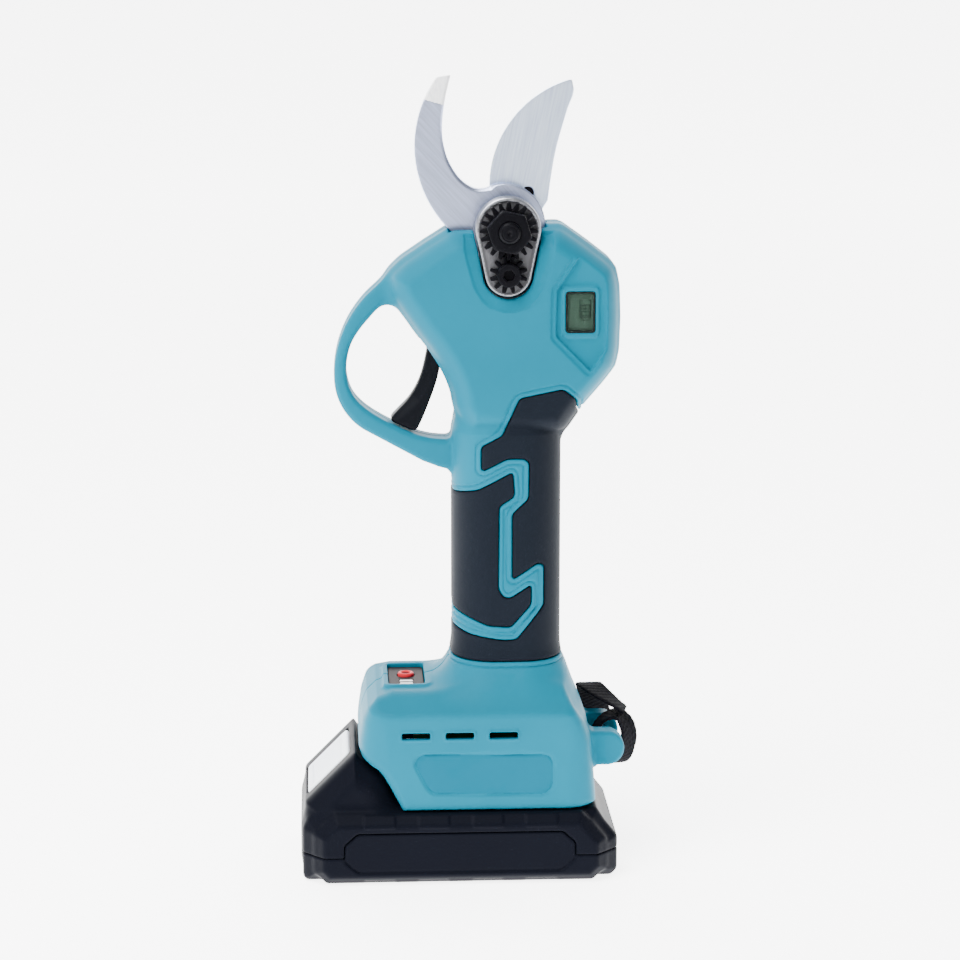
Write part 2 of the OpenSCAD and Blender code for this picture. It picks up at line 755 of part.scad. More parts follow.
display_y = -head_d / 2 + 1.3;
module display_window() {
    color([0.75, 0.80, 0.78, 0.5]) translate([LCD_X, display_y, LCD_Z])
        block([-LCD_W / 2 - 1.4, 0, -LCD_H / 2 - 1.4], [LCD_W / 2 + 1.4, 1, LCD_H / 2 + 1.4]);
}
module display_panel() {
    color([0.48, 0.52, 0.46]) translate([LCD_X, display_y + 1.1, LCD_Z])
        block([-LCD_W / 2 - 1.2, 0, -LCD_H / 2 - 1.2], [LCD_W / 2 + 1.2, 1.4, LCD_H / 2 + 1.2]);
}
module display_board() {
    color(BOARD) translate([LCD_X, display_y + 2.6, LCD_Z])
        block([-LCD_W / 2 - 1.4, 0, -LCD_H / 2 - 1.4], [LCD_W / 2 + 1.4, 1.2, LCD_H / 2 + 1.4]);
}

BUTTON_Y = 2.5;
BUTTON_R = 3.1;
panel_z = foot_top - 0.4;
module button_panel() {
    color([0.25, 0.25, 0.28]) difference() {
        block([PANEL_X - PANEL_W / 2, -PANEL_L / 2, panel_z - PANEL_T],
              [PANEL_X + PANEL_W / 2, PANEL_L / 2, panel_z]);
        rod_z(BUTTON_R + 0.3, foot_top - 20, foot_top + 5, PANEL_X, BUTTON_Y);
        for (y = LIGHTS)
            block([PANEL_X - 2.6, y - 0.9, foot_top - 20], [PANEL_X + 2.6, y + 0.9, foot_top + 5]);
    }
}

BUTTON_TRAVEL = 1;
module power_button() {
    color([0.75, 0.15, 0.15]) rod_z(BUTTON_R, panel_z - PANEL_T - 1, panel_z + 1.2, PANEL_X, BUTTON_Y);
}

LIGHTS = [-5.5, -9];
module button_lights() {
    color([0.9, 0.9, 0.88]) for (y = LIGHTS)
        block([PANEL_X - 2.5, y - 0.8, panel_z - PANEL_T - 1], [PANEL_X + 2.5, y + 0.8, panel_z]);
}

module button_board() {
    top = panel_z - PANEL_T - 1 - BUTTON_TRAVEL - 0.5;
    color(BOARD) {
        block([PANEL_X - 7, -13, top - 1.2], [PANEL_X + 7, 13, top]);
    }
}

// ---------------------------------------------------------------- electronics in the foot

TERMINALS = [-8, 0, 8];
TERMINAL_H = 5;
board_z = floor_z + 13;
module controller_board() {
    color(BOARD) block([-36, -24, board_z], [16, 24, board_z + 1.6]);
    color(DARK) for (i = [0:5])
        block([-30 + 7 * i, 12, board_z + 1.6], [-25 + 7 * i, 18, board_z + 4]);
    color([0.2, 0.25, 0.5]) for (x = [-26, -14]) rod_z(4, board_z + 1.6, board_z + 10, x, -14);
    color([0.1, 0.1, 0.1]) block([-6, -20, board_z + 1.6], [2, -12, board_z + 2.8]);
}

module motor_leads() {
    color([0.8, 0.7, 0.1]) for (y = [-7, 0, 7])
        rod_z(1.1, board_z + 1.6, motor_z - 4, 8, y);
}

module terminal_block() {
    color(DARK) block([6, -14, floor_z + FIT_GAP], [28, 14, floor_z + TERMINAL_H]);
    color(BRASS) for (y = TERMINALS) block([12, y - 0.4, rail_z - 8], [24, y + 0.4, floor_z + 1]);
    color([0.7, 0.1, 0.1]) for (y = [-8, 8]) rod_z(1.4, floor_z + TERMINAL_H - EPS, board_z, 12, y);
}

module housing_screws() {
    color(STEEL) for (s = SCREWS) {
        rod_y(SCREW_R - FIT_GAP, -s[2] + 0.5, s[2] - 2.6 + EPS, s[0], s[1]);
        rod_y(SCREW_HEAD_R, s[2] - 2.6, s[2] - 0.2, s[0], s[1]);
    }
}

// ---------------------------------------------------------------- strap

STRAP_PIN_R = 2;
module strap_pin() {
    color(STEEL) rod_y(STRAP_PIN_R - FIT_GAP, -LUG_OUT + 2, LUG_OUT - 2, LUG_X, LUG_Z);
}

// Middle line of the webbing loop, each point with the direction of the webbing's width: round the pin,
// under the far ear, down behind the battery, round on the ground, up again and over the far ear.
STRAP = [[[41.5, 0, 42], [0, 1, 0]], [[37.6, 0, 42.1], [0, 1, 0]], [[34.4, 0, 44.6], [0, 1, 0]],
    [[34.6, 0, 49], [0, 1, 0]], [[38.5, 0, 53.8], [0, 1, 0]], [[43.6, 0, 54.8], [0.2, 1, 0.2]],
    [[47, -0.5, 50.8], [0.55, 0.9, 0.3]], [[47.8, -0.5, 45.2], [0.75, 0.8, 0]],
    [[46.2, 0.5, 39.5], [0.8, 0.7, -0.2]], [[43.8, 5, 34.8], [1, 0.3, 0]], [[42, 14, 32.2], [1, 0.1, 0]],
    [[40, 28, 31.5], [0.9, 0.4, 0]], [[34, 39, 30], [0.8, 0.6, 0]], [[26, 47, 20], [0.5, 0.8, 0]],
    [[10, 50, 7], [0.1, 1, 0]], [[-6, 53, 1.8], [0.2, 1, 0]], [[-24, 58, 1.2], [0.3, 1, 0]],
    [[-42, 64, 1.2], [0.5, 1, 0]], [[-53, 73, 1.2], [1, 0.4, 0]], [[-49, 83, 1.2], [0.4, -0.9, 0]],
    [[-34, 85, 1.2], [-0.1, -1, 0]], [[-14, 79, 1.2], [-0.3, -1, 0]], [[8, 71, 1.8], [-0.3, -1, 0]],
    [[26, 63, 6], [-0.4, -1, 0]], [[37, 56, 16], [-0.7, -0.7, 0]], [[43, 47, 30], [-1, -0.3, 0]],
    [[40, 38, 43], [-1, 0, 0]], [[36.5, 30, 53], [-1, 0, 0]], [[34.3, 22, 60], [-1, 0, 0]],
    [[33.5, 13, 63.5], [-1, -0.1, 0]], [[36.5, 6, 62.5], [-0.8, -0.6, 0]],
    [[41.5, 1.5, 59.8], [-0.4, -1, 0]], [[46.4, 0, 56.4], [-0.2, -1, 0]]];
STRAP_W = 10;
STRAP_T = 1.6;

// One closed skin swept along the line: a flat ring of four corners at every point.
module webbing(line, w, t) {
    path = curve([for (p = line) p[0]], 3);
    sides = curve([for (p = line) p[1]], 3);
    n = len(path);
    rings = [for (i = [0:n - 1])
        let (a = path[max(i - 1, 0)], b = path[min(i + 1, n - 1)], way = (b - a) / norm(b - a),
             side = sides[i] - (sides[i] * way) * way, u = side / norm(side), up = cross(way, u))
        [for (c = [[-1, -1], [1, -1], [1, 1], [-1, 1]])
            path[i] + u * c[0] * w / 2 + up * c[1] * t / 2]];
    walls = [for (i = [0:n - 2], k = [0:3])
        [4 * i + k, 4 * i + (k + 1) % 4, 4 * (i + 1) + (k + 1) % 4, 4 * (i + 1) + k]];
    split = [for (f = walls) each [[f[0], f[1], f[2]], [f[0], f[2], f[3]]]];
    last = 4 * n - 4;
    polyhedron([for (r = rings, p = r) p],
        concat([[3, 2, 1], [3, 1, 0]], split,
               [[last, last + 1, last + 2], [last, last + 2, last + 3]]));
}

// The webbing above the ground rises and moves with the lug.
function strap_point(p) =
    p + (p[2] - 1.2 < 27 ? (p[2] - 1.2) / 27 : 1) * [LUG_X - 38, 0, LUG_Z - 46.2];

module wrist_strap() {
    color(OXIDE) webbing([for (q = STRAP) [strap_point(q[0]), q[1]]], STRAP_W, STRAP_T);
}

// ---------------------------------------------------------------- battery

bx0 = -battery_front;
bx1 = battery_l - battery_front;
bxc = (bx0 + bx1) / 2;
bw = battery_w / 2;

// The battery seen from above, shrunk by g: a long middle block between two wider side blocks.
module battery_plan(g = 0) {
    module cut_box(x0, x1, y, c) {
        polygon([[x0 + g, -y + c], [x0 + c, -y + g], [x1 - c, -y + g], [x1 - g, -y + c],
                 [x1 - g, y - c], [x1 - c, y - g], [x0 + c, y - g], [x0 + g, y - c]]);
    }
    cut_box(bx0, bx1, bw - 4, 5);
    cut_box(bx0 + 4.5, bx1 - 4.5, bw, 3.5);
}

// The tower in front of the foot, with the sloped face that carries the latch button.
tower_top = foot_z + 20.8;
module tower_outline() {
    b = foot_z;
    polygon([[bx0 + 1, battery_h - 8], [bx0 + 1, battery_h + 2.5], [bx0 + 19.6, tower_top],
             [-57.3, tower_top], [-56.6, b + 19.4], [-52.9, b + 16.2], [-48.2, b + 13.2],
             [-40.9, battery_h], [-40.9, battery_h - 8]]);
}

CELL_STEP = 19.1;
module at_cells() {
    for (i = [-2:2]) translate([bxc + i * CELL_STEP, 0, battery_wall + 0.3 + cell_d / 2]) children();
}

// The room for the cells.
module cell_room() {
    block([bx0 + 5, -bw + 4 + battery_wall, battery_wall],
          [bx1 - 5, bw - 4 - battery_wall, battery_h - battery_wall]);
    block([bx0 + 10, -bw + battery_wall, battery_wall],
          [bx1 - 10, bw - battery_wall, battery_h - battery_wall]);
}

CASE_SCREWS = [for (x = [bx0 + 7.6, bx1 - 7.6], y = [-26, 26]) [x, y]];
module battery_case_bottom() {
    color(DARK) difference() {
        union() {
            translate([0, 0, 0]) linear_extrude(3.4) battery_plan(2.6);
            translate([0, 0, 3.4 - EPS]) linear_extrude(battery_seam - 3.4 + EPS) battery_plan();
        }
        difference() {
            cell_room();
            for (p = CASE_SCREWS) rod_z(2.8, 0, battery_seam, p[0], p[1]);
        }
        for (p = CASE_SCREWS) {
            rod_z(1.6, -1, battery_seam + 1, p[0], p[1]);
            rod_z(2.6, -1, 1.8, p[0], p[1]);
        }
    }
}

rail_top = rail_z - 0.5;
LATCH_HOOK_X = -38;
module battery_case_top() {
    color(DARK) difference() {
        union() {
            translate([0, 0, battery_seam]) linear_extrude(battery_h - 3 - battery_seam) battery_plan();
            translate([0, 0, battery_h - 3 - EPS]) linear_extrude(3 + EPS) battery_plan(2.2);
            upright(-bw + 6, bw - 6) tower_outline();
            block([-44, -RAIL_NECK, battery_h - 1], [RAIL_BACK, RAIL_NECK, rail_top]);
            block([-44, -RAIL_W, foot_z + 5.9], [RAIL_BACK, RAIL_W, rail_top]);
        }
        difference() {
            cell_room();
            for (p = CASE_SCREWS) rod_z(2.8, battery_seam, battery_h, p[0], p[1]);
        }
        for (p = CASE_SCREWS) rod_z(1.3, battery_seam - 1, battery_seam + 8, p[0], p[1]);
        block([-60, -RAIL_NECK + 2, battery_h - 6], [RAIL_BACK - 2, RAIL_NECK - 2, rail_top - 2]);
        for (y = TERMINALS) block([8, y - 1, battery_h], [RAIL_BACK + 1, y + 1, rail_top + 1]);
        latch_room();
    }
}

// The latch: a button on the slope with an arm to a hook that stands up in front of the foot's floor.
LATCH_W = 32;
LATCH_DROP = 3.5;
module latch_face() {
    polygon([[bx0 + 2.4, battery_h + 4], [bx0 + 16.5, battery_h + 18.1], [bx0 + 19.3, battery_h + 18.1],
             [bx0 + 19.3, battery_h + 12], [bx0 + 8.3, battery_h + 1.5], [bx0 + 2.4, battery_h + 1.5]]);
}
module latch_room() {
    upright(-LATCH_W / 2 - 0.4, LATCH_W / 2 + 0.4) {
        offset(delta = 0.5) latch_face();
        translate([0, -LATCH_DROP]) offset(delta = 0.5) latch_face();
        translate([-1.5, 1.2]) latch_face();
    }
    block([bx0 + 7, -13, battery_h - 4.5], [-56, 13, battery_h + 14]);
    block([LATCH_HOOK_X - 3, -6.4, rail_top - 3], [LATCH_HOOK_X + 3, 6.4, rail_top + 1]);
}

module latch_button() {
    color([0.88, 0.89, 0.91]) {
        upright(-LATCH_W / 2, LATCH_W / 2) latch_face();
        block([bx0 + 12, -8, battery_h + 3.8], [-52, 8, battery_h + 6.4]);
        block([-53, -5, battery_h + 3.8], [LATCH_HOOK_X + 2, 5, battery_h + 6.4]);
        upright(-5, 5) polygon([[LATCH_HOOK_X - 2, battery_h + 4], [LATCH_HOOK_X + 2, battery_h + 4],
            [LATCH_HOOK_X + 2, rail_top + 2.4], [LATCH_HOOK_X, rail_top + 2.4],
            [LATCH_HOOK_X - 2, rail_top]]);
    }
}

module latch_springs() {
    color(STEEL) for (y = [-6, 6]) translate([bx0 + 16, y, 0])
        coil(2, 0.35, 5, battery_h - 4.4, battery_h + 3.7);
}

module battery_cells() {
    color([0.20, 0.45, 0.30]) at_cells() rod_y(cell_d / 2, -32.4, 32.4);
}

module cell_holder() {
    color([0.85, 0.85, 0.82]) for (s = [-1, 1]) difference() {
        block([bxc - 2.5 * CELL_STEP - 0.8, s * 24 - 3, battery_wall + 0.1],
              [bxc + 2.5 * CELL_STEP + 0.8, s * 24 + 3, battery_h - battery_wall - 1.5]);
        at_cells() rod_y(cell_d / 2 + FIT_GAP, -40, 40);
    }
}

module cell_straps() {
    color([0.8, 0.8, 0.78]) for (s = [-1, 1], i = s < 0 ? [-1.5, 0.5] : [-0.5, 1.5])
        translate([bxc + i * CELL_STEP, s * 32.55, battery_wall + 0.3 + cell_d / 2])
            block([-CELL_STEP / 2 - 4, -0.15, -4], [CELL_STEP / 2 + 4, 0.15, 4]);
}

board_b = battery_h - battery_wall - 1;
module battery_board() {
    color(BOARD) block([-42, -16, board_b], [24, 16, board_b + 1.2]);
    color(DARK) for (x = [-30, -22, -14]) block([x, -10, board_b + 1.2], [x + 5, -3, board_b + 2.6]);
}

module battery_terminals() {
    color(BRASS) for (y = TERMINALS) difference() {
        block([11, y - 1.6, board_b + 1.2], [25, y + 1.6, rail_top - 2.2]);
        block([10, y - 0.8, board_b + 2], [26, y + 0.8, rail_top]);
    }
}

module battery_screws() {
    color(STEEL) for (p = CASE_SCREWS) {
        rod_z(1.28, 1, battery_seam + 7, p[0], p[1]);
        rod_z(2.5, 0.4, 1.8, p[0], p[1]);
    }
}

// ---------------------------------------------------------------- one line per node

housing_left();
housing_right();
grip_left();
grip_right();
gear_head();
fixed_blade();
cutting_blade();
gear_sector();
sector_screws();
pivot_bolt();
pivot_nut();
lock_washer();
lock_pinion();
lock_screw();
drive_pinion();
planet_carrier();
planet_gear_1();
planet_gear_2();
planet_gear_3();
ring_gear();
sun_gear();
output_bearings();
motor_can();
stator();
rotor();
motor_bearings();
motor_end_cap();
trigger();
trigger_pin();
trigger_spring();
trigger_magnet();
trigger_board();
display_window();
display_panel();
display_board();
button_panel();
power_button();
button_lights();
button_board();
controller_board();
motor_leads();
terminal_block();
housing_screws();
strap_pin();
wrist_strap();
battery_case_top();
battery_case_bottom();
battery_cells();
cell_holder();
cell_straps();
battery_board();
battery_terminals();
battery_screws();
latch_button();
latch_springs();
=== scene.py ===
import math

import bmesh
import bpy
import numpy as np
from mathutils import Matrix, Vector


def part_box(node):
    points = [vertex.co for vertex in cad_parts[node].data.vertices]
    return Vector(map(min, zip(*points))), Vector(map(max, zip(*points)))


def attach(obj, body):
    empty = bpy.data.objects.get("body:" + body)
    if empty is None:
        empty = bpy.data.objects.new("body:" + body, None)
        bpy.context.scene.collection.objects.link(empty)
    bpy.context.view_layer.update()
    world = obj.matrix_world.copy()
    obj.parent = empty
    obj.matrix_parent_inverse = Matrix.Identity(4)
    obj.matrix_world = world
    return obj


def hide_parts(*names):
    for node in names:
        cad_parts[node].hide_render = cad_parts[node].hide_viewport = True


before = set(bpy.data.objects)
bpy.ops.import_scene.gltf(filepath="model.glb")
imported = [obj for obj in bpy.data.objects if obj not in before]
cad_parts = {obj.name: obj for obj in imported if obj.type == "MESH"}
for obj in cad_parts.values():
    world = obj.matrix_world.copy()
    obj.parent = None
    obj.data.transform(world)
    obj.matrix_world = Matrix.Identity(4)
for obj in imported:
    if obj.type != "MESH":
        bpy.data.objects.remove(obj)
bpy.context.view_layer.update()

MM = 0.001

# ---------------------------------------------------------------- places, in mm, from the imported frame


def box_mm(node):
    """Lowest and highest corner of a CAD node."""
    low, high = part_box(node)
    return [c / MM for c in low], [c / MM for c in high]


def span(node, axis=1):
    """Lowest and highest place of a CAD node along an axis."""
    low, high = box_mm(node)
    return low[axis], high[axis]


def centre(node, axis):
    return sum(span(node, axis)) / 2


PIVOT_Z = centre("lock_washer", 2)
FOOT_Z = box_mm("housing_left")[0][2]
FOOT_TOP = box_mm("button_panel")[1][2] + 0.4
HOOK_Y = span("fixed_blade")
BLADE_Y = span("cutting_blade")
GEAR_Y = span("lock_washer")
HEAD_Y = span("gear_head")
NUT_Y = span("pivot_nut")
BOLT_Y = span("pivot_bolt")
SOCKET_Y = span("lock_screw")
NOSE_Z = (span("gear_head", 2)[0], PIVOT_Z - 39.5)
LOCK_DROP = 16.0      # from the pivot down to the lock pinion
PIVOT_HOLE_R = 4.06
DIAGONAL = 0.7071     # sine and cosine of 45 degrees
HEAD_HALF = 19.5
FOOT_HALF = 33.0
HANDLE_X = 20.4
WALL = 2.6
GUARD_HALF = 7.5
BATTERY_LOW = box_mm("battery_case_bottom")
SEAM_Z = BATTERY_LOW[1][2]
BODY_TOP = FOOT_Z - 0.3

# ---------------------------------------------------------------- fields and their surfaces


class Grid:
    """Sample points in a box, in mm: x, t and z have shapes that broadcast together."""

    def __init__(self, low, high, step):
        self.low = np.array(low, float)
        self.step = np.array(step, float)
        self.n = np.ceil((np.array(high) - self.low) / self.step).astype(int) + 1
        axes = [(self.low[i] + self.step[i] * np.arange(self.n[i])).astype(np.float32) for i in range(3)]
        self.x = axes[0][:, None, None]
        self.t = axes[1][None, :, None]
        self.z = axes[2][None, None, :]


def polygon_distance(u, v, points):
    """Signed distance to a closed polygon in the plane of u and v, below 0 inside."""
    shape = np.broadcast(u, v).shape
    best = np.full(shape, 1e9, np.float32)
    inside = np.zeros(shape, bool)
    for (ax, ay), (bx, by) in zip(points, points[1:] + points[:1]):
        ex, ey = bx - ax, by - ay
        length2 = ex * ex + ey * ey
        if length2 < 1e-9:
            continue
        s = np.clip(((u - ax) * ex + (v - ay) * ey) / length2, 0, 1)
        best = np.minimum(best, (u - ax - s * ex) ** 2 + (v - ay - s * ey) ** 2)
        if abs(ey) > 1e-9:
            inside ^= ((ay > v) != (by > v)) & (u < ex * (v - ay) / ey + ax)
    d = np.sqrt(best)
    return np.where(inside, -d, d).astype(np.float32)


def box_distance(u, v, cx, cy, hx, hy, r=0.0):
    """Signed distance to a rectangle with round corners."""
    a = np.abs(u - cx) - hx + r
    b = np.abs(v - cy) - hy + r
    return np.minimum(np.maximum(a, b), 0) + np.hypot(np.maximum(a, 0), np.maximum(b, 0)) - r


def smin(a, b, k):
    h = np.maximum(k - np.abs(a - b), 0) / k
    return np.minimum(a, b) - h * h * k / 4


def smax(a, b, k):
    return -smin(-a, -b, k)


def extruded(d, t, half, r):
    """A plan with distance d, of half depth half, with its edges rounded to r."""
    a = d + r
    b = t - half + r
    return np.minimum(np.maximum(a, b), 0) + np.hypot(np.maximum(a, 0), np.maximum(b, 0)) - r


def ramp(value, low, high):
    """0 below low, 1 above high, smooth between."""
    s = np.clip((value - low) / (high - low), 0, 1)
    return s * s * (3 - 2 * s)


def surface(grid, f):
    """Points and quads of the surface f = 0, with one point in every cell that it crosses."""
    f = np.ascontiguousarray(np.broadcast_to(f, tuple(grid.n)), dtype=np.float32)
    f = np.where(f == 0, np.float32(1e-6), f)
    inside = f < 0
    nx, ny, nz = (int(v) for v in grid.n)
    count = np.zeros((nx - 1, ny - 1, nz - 1), np.int8)
    corners = [(i, j, k) for i in (0, 1) for j in (0, 1) for k in (0, 1)]
    for i, j, k in corners:
        count += inside[i:nx - 1 + i, j:ny - 1 + j, k:nz - 1 + k]
    mixed = (count > 0) & (count < 8)
    ci, cj, ck = np.nonzero(mixed)
    ids = np.full(count.shape, -1, np.int32)
    ids[ci, cj, ck] = np.arange(len(ci))
    total = np.zeros((len(ci), 3), np.float32)
    hits = np.zeros(len(ci), np.float32)
    for a in corners:
        for axis in range(3):
            if a[axis]:
                continue
            b = list(a)
            b[axis] = 1
            fa = f[ci + a[0], cj + a[1], ck + a[2]]
            fb = f[ci + b[0], cj + b[1], ck + b[2]]
            cross = (fa < 0) != (fb < 0)
            s = np.where(cross, fa / np.where(cross, fa - fb, 1), 0)
            for c in range(3):
                total[:, c] += np.where(cross, a[c] + (s if c == axis else 0), 0)
            hits += cross
    cells = np.stack([ci, cj, ck], 1)
    points = (cells + total / hits[:, None]) * grid.step + grid.low
    quads = []
    for axis in range(3):
        o1, o2 = [c for c in range(3) if c != axis]
        if axis == 1:
            o1, o2 = o2, o1
        first = [slice(0, n) for n in (nx, ny, nz)]
        second = [slice(0, n) for n in (nx, ny, nz)]
        first[axis] = slice(0, (nx, ny, nz)[axis] - 1)
        second[axis] = slice(1, (nx, ny, nz)[axis])
        change = inside[tuple(first)] != inside[tuple(second)]
        e = np.array(np.nonzero(change))
        limit = [nx, ny, nz]
        keep = (e[o1] > 0) & (e[o1] < limit[o1] - 1) & (e[o2] > 0) & (e[o2] < limit[o2] - 1)
        e = e[:, keep]
        starts_in = inside[tuple(e)]
        around = []
        for s1, s2 in ((-1, -1), (0, -1), (0, 0), (-1, 0)):
            c = e.copy()
            c[o1] += s1
            c[o2] += s2
            around.append(ids[tuple(c)])
        q = np.stack(around, 1)
        q[~starts_in] = q[~starts_in][:, ::-1]
        quads.append(q)
    return points, np.concatenate(quads)


def add_object(name, data):
    ob = bpy.data.objects.new(name, data)
    bpy.context.scene.collection.objects.link(ob)
    return ob


def skin(name, points, quads, material, mirror=False):
    """A mesh object from arrays in mm; mirror turns the depth t into +Y instead of -Y."""
    p = points.copy()
    if not mirror:
        p[:, 1] = -p[:, 1]
        quads = quads[:, ::-1]
    mesh = bpy.data.meshes.new(name)
    mesh.vertices.add(len(p))
    mesh.vertices.foreach_set("co", (p * MM).astype(np.float32).ravel())
    mesh.loops.add(quads.size)
    mesh.loops.foreach_set("vertex_index", quads.astype(np.int32).ravel())
    mesh.polygons.add(len(quads))
    mesh.polygons.foreach_set("loop_start", np.arange(0, quads.size, quads.shape[1], dtype=np.int32))
    mesh.polygons.foreach_set("use_smooth", np.full(len(quads), True))
    mesh.update(calc_edges=True)
    mesh.materials.append(material)
    return add_object(name, mesh)


# ---------------------------------------------------------------- outlines


def arc(cx, cy, r, a0, a1, n):
    return [(cx + r * math.cos(math.radians(a0 + (a1 - a0) * i / n)),
             cy + r * math.sin(math.radians(a0 + (a1 - a0) * i / n))) for i in range(n + 1)]


def rounded(points, r, n=4):
    """A closed outline with its corners rounded; r is a length or one for every corner."""
    out = []
    for i, (x, y) in enumerate(points):
        size = r[i] if isinstance(r, (list, tuple)) else r
        ends = []
        for j in (i - 1, (i + 1) % len(points)):
            dx, dy = points[j][0] - x, points[j][1] - y
            length = math.hypot(dx, dy)
            s = min(size, length * 0.45) / length
            ends.append((x + dx * s, y + dy * s))
        for k in range(n + 1):
            s = k / n
            a, b, c = (1 - s) ** 2, 2 * s * (1 - s), s * s
            out.append((a * ends[0][0] + b * x + c * ends[1][0], a * ends[0][1] + b * y + c * ends[1][1]))
    return out


def smooth_curve(points, n=4, closed=True):
    """A smooth line through the points."""
    m = len(points)
    out = []
    for i in range(m if closed else m - 1):
        if closed:
            a, b, c, d = (points[(i + k) % m] for k in (-1, 0, 1, 2))
        else:
            a, b, c, d = points[max(i - 1, 0)], points[i], points[i + 1], points[min(i + 2, m - 1)]
        for k in range(n):
            s = k / n
            out.append(tuple(0.5 * (2 * b[j] + (c[j] - a[j]) * s
                                    + (2 * a[j] - 5 * b[j] + 4 * c[j] - d[j]) * s * s
                                    + (3 * b[j] - a[j] - 3 * c[j] + d[j]) * s ** 3) for j in range(len(b))))
    if not closed:
        out.append(tuple(points[-1]))
    return out


# Side views, from the pivot: X and height over the pivot.
HEAD = [(-14, -99), (-20.5, -93.2), (-22.3, -91.2), (-25.3, -90.4), (-31.5, -88)] + \
    arc(-40.9, -56, 23.5, 238, 180, 12) + arc(-20.6, -55.5, 43.8, 179, 130, 14) + \
    [(-43.6, -16.9), (-38.8, -12.4), (-29.7, -6.3), (-20.6, -0.6), (19.1, 0.4), (21, -0.4),
     (29.1, -6.2), (37.7, -12.9), (39.9, -15.6), (41.2, -22), (41.6, -34), (41.2, -46), (40, -51.8),
     (35.2, -58.1), (28, -66.4), (21.5, -75.9), (20.5, -79), (14, -86)]
LOOP = [(-44.6, -28.9), (-47.6, -30), (-51.1, -33.7), (-54.9, -38.3), (-58, -43.7), (-59.5, -49.9),
        (-59.5, -55.3), (-58.2, -60.7), (-55.9, -64.6), (-52.1, -68.2), (-46.8, -71.7), (-40.7, -74.9),
        (-35.3, -77.3), (-29.9, -78.9), (-25.3, -79.6), (-21.2, -79.3), (-19.5, -75.1), (-19.1, -67.3),
        (-20.3, -61.9), (-22.2, -56.4), (-24.5, -51.7), (-28.3, -45.5), (-33.6, -38.5), (-37.4, -33.1),
        (-40.6, -29.6)]
CORE = [(-20.6, -0.6), (-29.7, -6.3), (-38.8, -12.4), (-43.5, -17), (-43, -24), (-39.6, -29.8),
        (-33.6, -38.5), (-28.3, -45.5), (-24.5, -51.7), (-22.2, -56.4), (-20.3, -61.9), (-19.5, -68),
        (-15, -75.5), (10, -77.5), (21.5, -75.9), (28, -66.4), (35.2, -58.1), (40, -51.8), (41.2, -46),
        (41.6, -34), (41.2, -22), (39.9, -15.6), (37.7, -12.9), (29.1, -6.2), (21, -0.4), (19.1, 0.4)]
BAND = [(-16.4, -8.1), (-12.5, -21.8), (-8, -27.9), (0.3, -30.6), (8.5, -28.1), (13.8, -21.3),
        (16.9, -7.9), (16.9, 8), (-16.4, 8)]
RECESS = [(25.8, -9.9), (17.9, -21.7), (17.6, -39.1), (30.6, -52.4), (36.4, -44), (36.4, -15)]
GRIP_UPPER = [(4.2, -62.3), (20.4, -59), (25.2, -62.9), (25.8, -67.5), (32, -75.5), (32, -162.5),
              (-30, -162.5), (-30, -147.3), (-14.8, -152.6), (-1.9, -154.6), (3.2, -154.4), (13.6, -141.5),
              (13.6, -126), (11, -124.8), (1.6, -131), (1.6, -106), (7.7, -100.2), (7.9, -86.3),
              (5.8, -84.8), (-0.5, -84.8), (-9.9, -89.7), (-9.9, -80.5), (-2, -76.1)]
GRIP_LOWER = [(-30, -98), (-20.9, -99.3), (-11.3, -97.1), (1.6, -90.1), (2.3, -99.1), (-3.5, -102.9),
              (-3.8, -134.6), (-1.9, -137.9), (1, -138.3), (8.6, -133.3), (8.6, -140.7), (1, -149.3),
              (-7.6, -148.7), (-20.9, -143.6), (-30, -141.5)]
FOOT = [(-40.2, 0), (-44.7, 8.8), (-47.4, 13.4), (-49.3, 15.6), (-52.3, 17), (-55.6, 19.3),
        (-57.2, 22.8), (-56.8, 26.2), (-55.1, 34.3), (-53.1, 39.1), (-49.5, 42.6), (-44, 44.2),
        (20, 44.2), (22.1, 41.7), (25.2, 37.5), (27.6, 33.8), (29.6, 29.7), (31.2, 24.8), (33.2, 7.1),
        (34, 0)]
LABEL = [(-33.4, 22.8), (-36.3, 19.3), (-31, 8.8), (-28.7, 6.8), (13.4, 6.1), (16.5, 9.7),
         (16.5, 19.2), (14.2, 22.1)]
VENTS = [-35.2, -18.8, -2.4]
VENT_Z = 57.0
LUG = (centre("strap_pin", 0), centre("strap_pin", 2))
LCD = (26.6, -30.2)
PANEL_X = centre("button_panel", 0)
PANEL_Y = centre("button_panel", 1)


def pear_distance(u, w):
    """Distance to the gear head's outline, from the pivot."""
    big, small, drop = 12.1, 8.9, LOCK_DROP
    lean = math.asin((big - small) / drop)
    sides = [(big * math.cos(lean), -big * math.sin(lean)),
             (small * math.cos(lean), -drop - small * math.sin(lean)),
             (-small * math.cos(lean), -drop - small * math.sin(lean)),
             (-big * math.cos(lean), -big * math.sin(lean))]
    circles = np.minimum(np.hypot(u, w) - big, np.hypot(u, w + drop) - small)
    return np.minimum(circles, polygon_distance(u, w, sides))


# ---------------------------------------------------------------- materials


def material(name, colour, rough=0.5, metal=0.0, **more):
    m = bpy.data.materials.new(name)
    m.use_nodes = True
    b = m.node_tree.nodes["Principled BSDF"]
    b.inputs["Base Color"].default_value = (*colour, 1)
    b.inputs["Roughness"].default_value = rough
    b.inputs["Metallic"].default_value = metal
    for key, value in more.items():
        b.inputs[key.replace("_", " ")].default_value = value
    return m


def node(m, kind, **values):
    n = m.node_tree.nodes.new(kind)
    for key, value in values.items():
        if key in n.inputs:
            n.inputs[key].default_value = value
        else:
            setattr(n, key, value)
    return n


def link(m, a, out, b, into):
    m.node_tree.links.new(a.outputs[out], b.inputs[into])


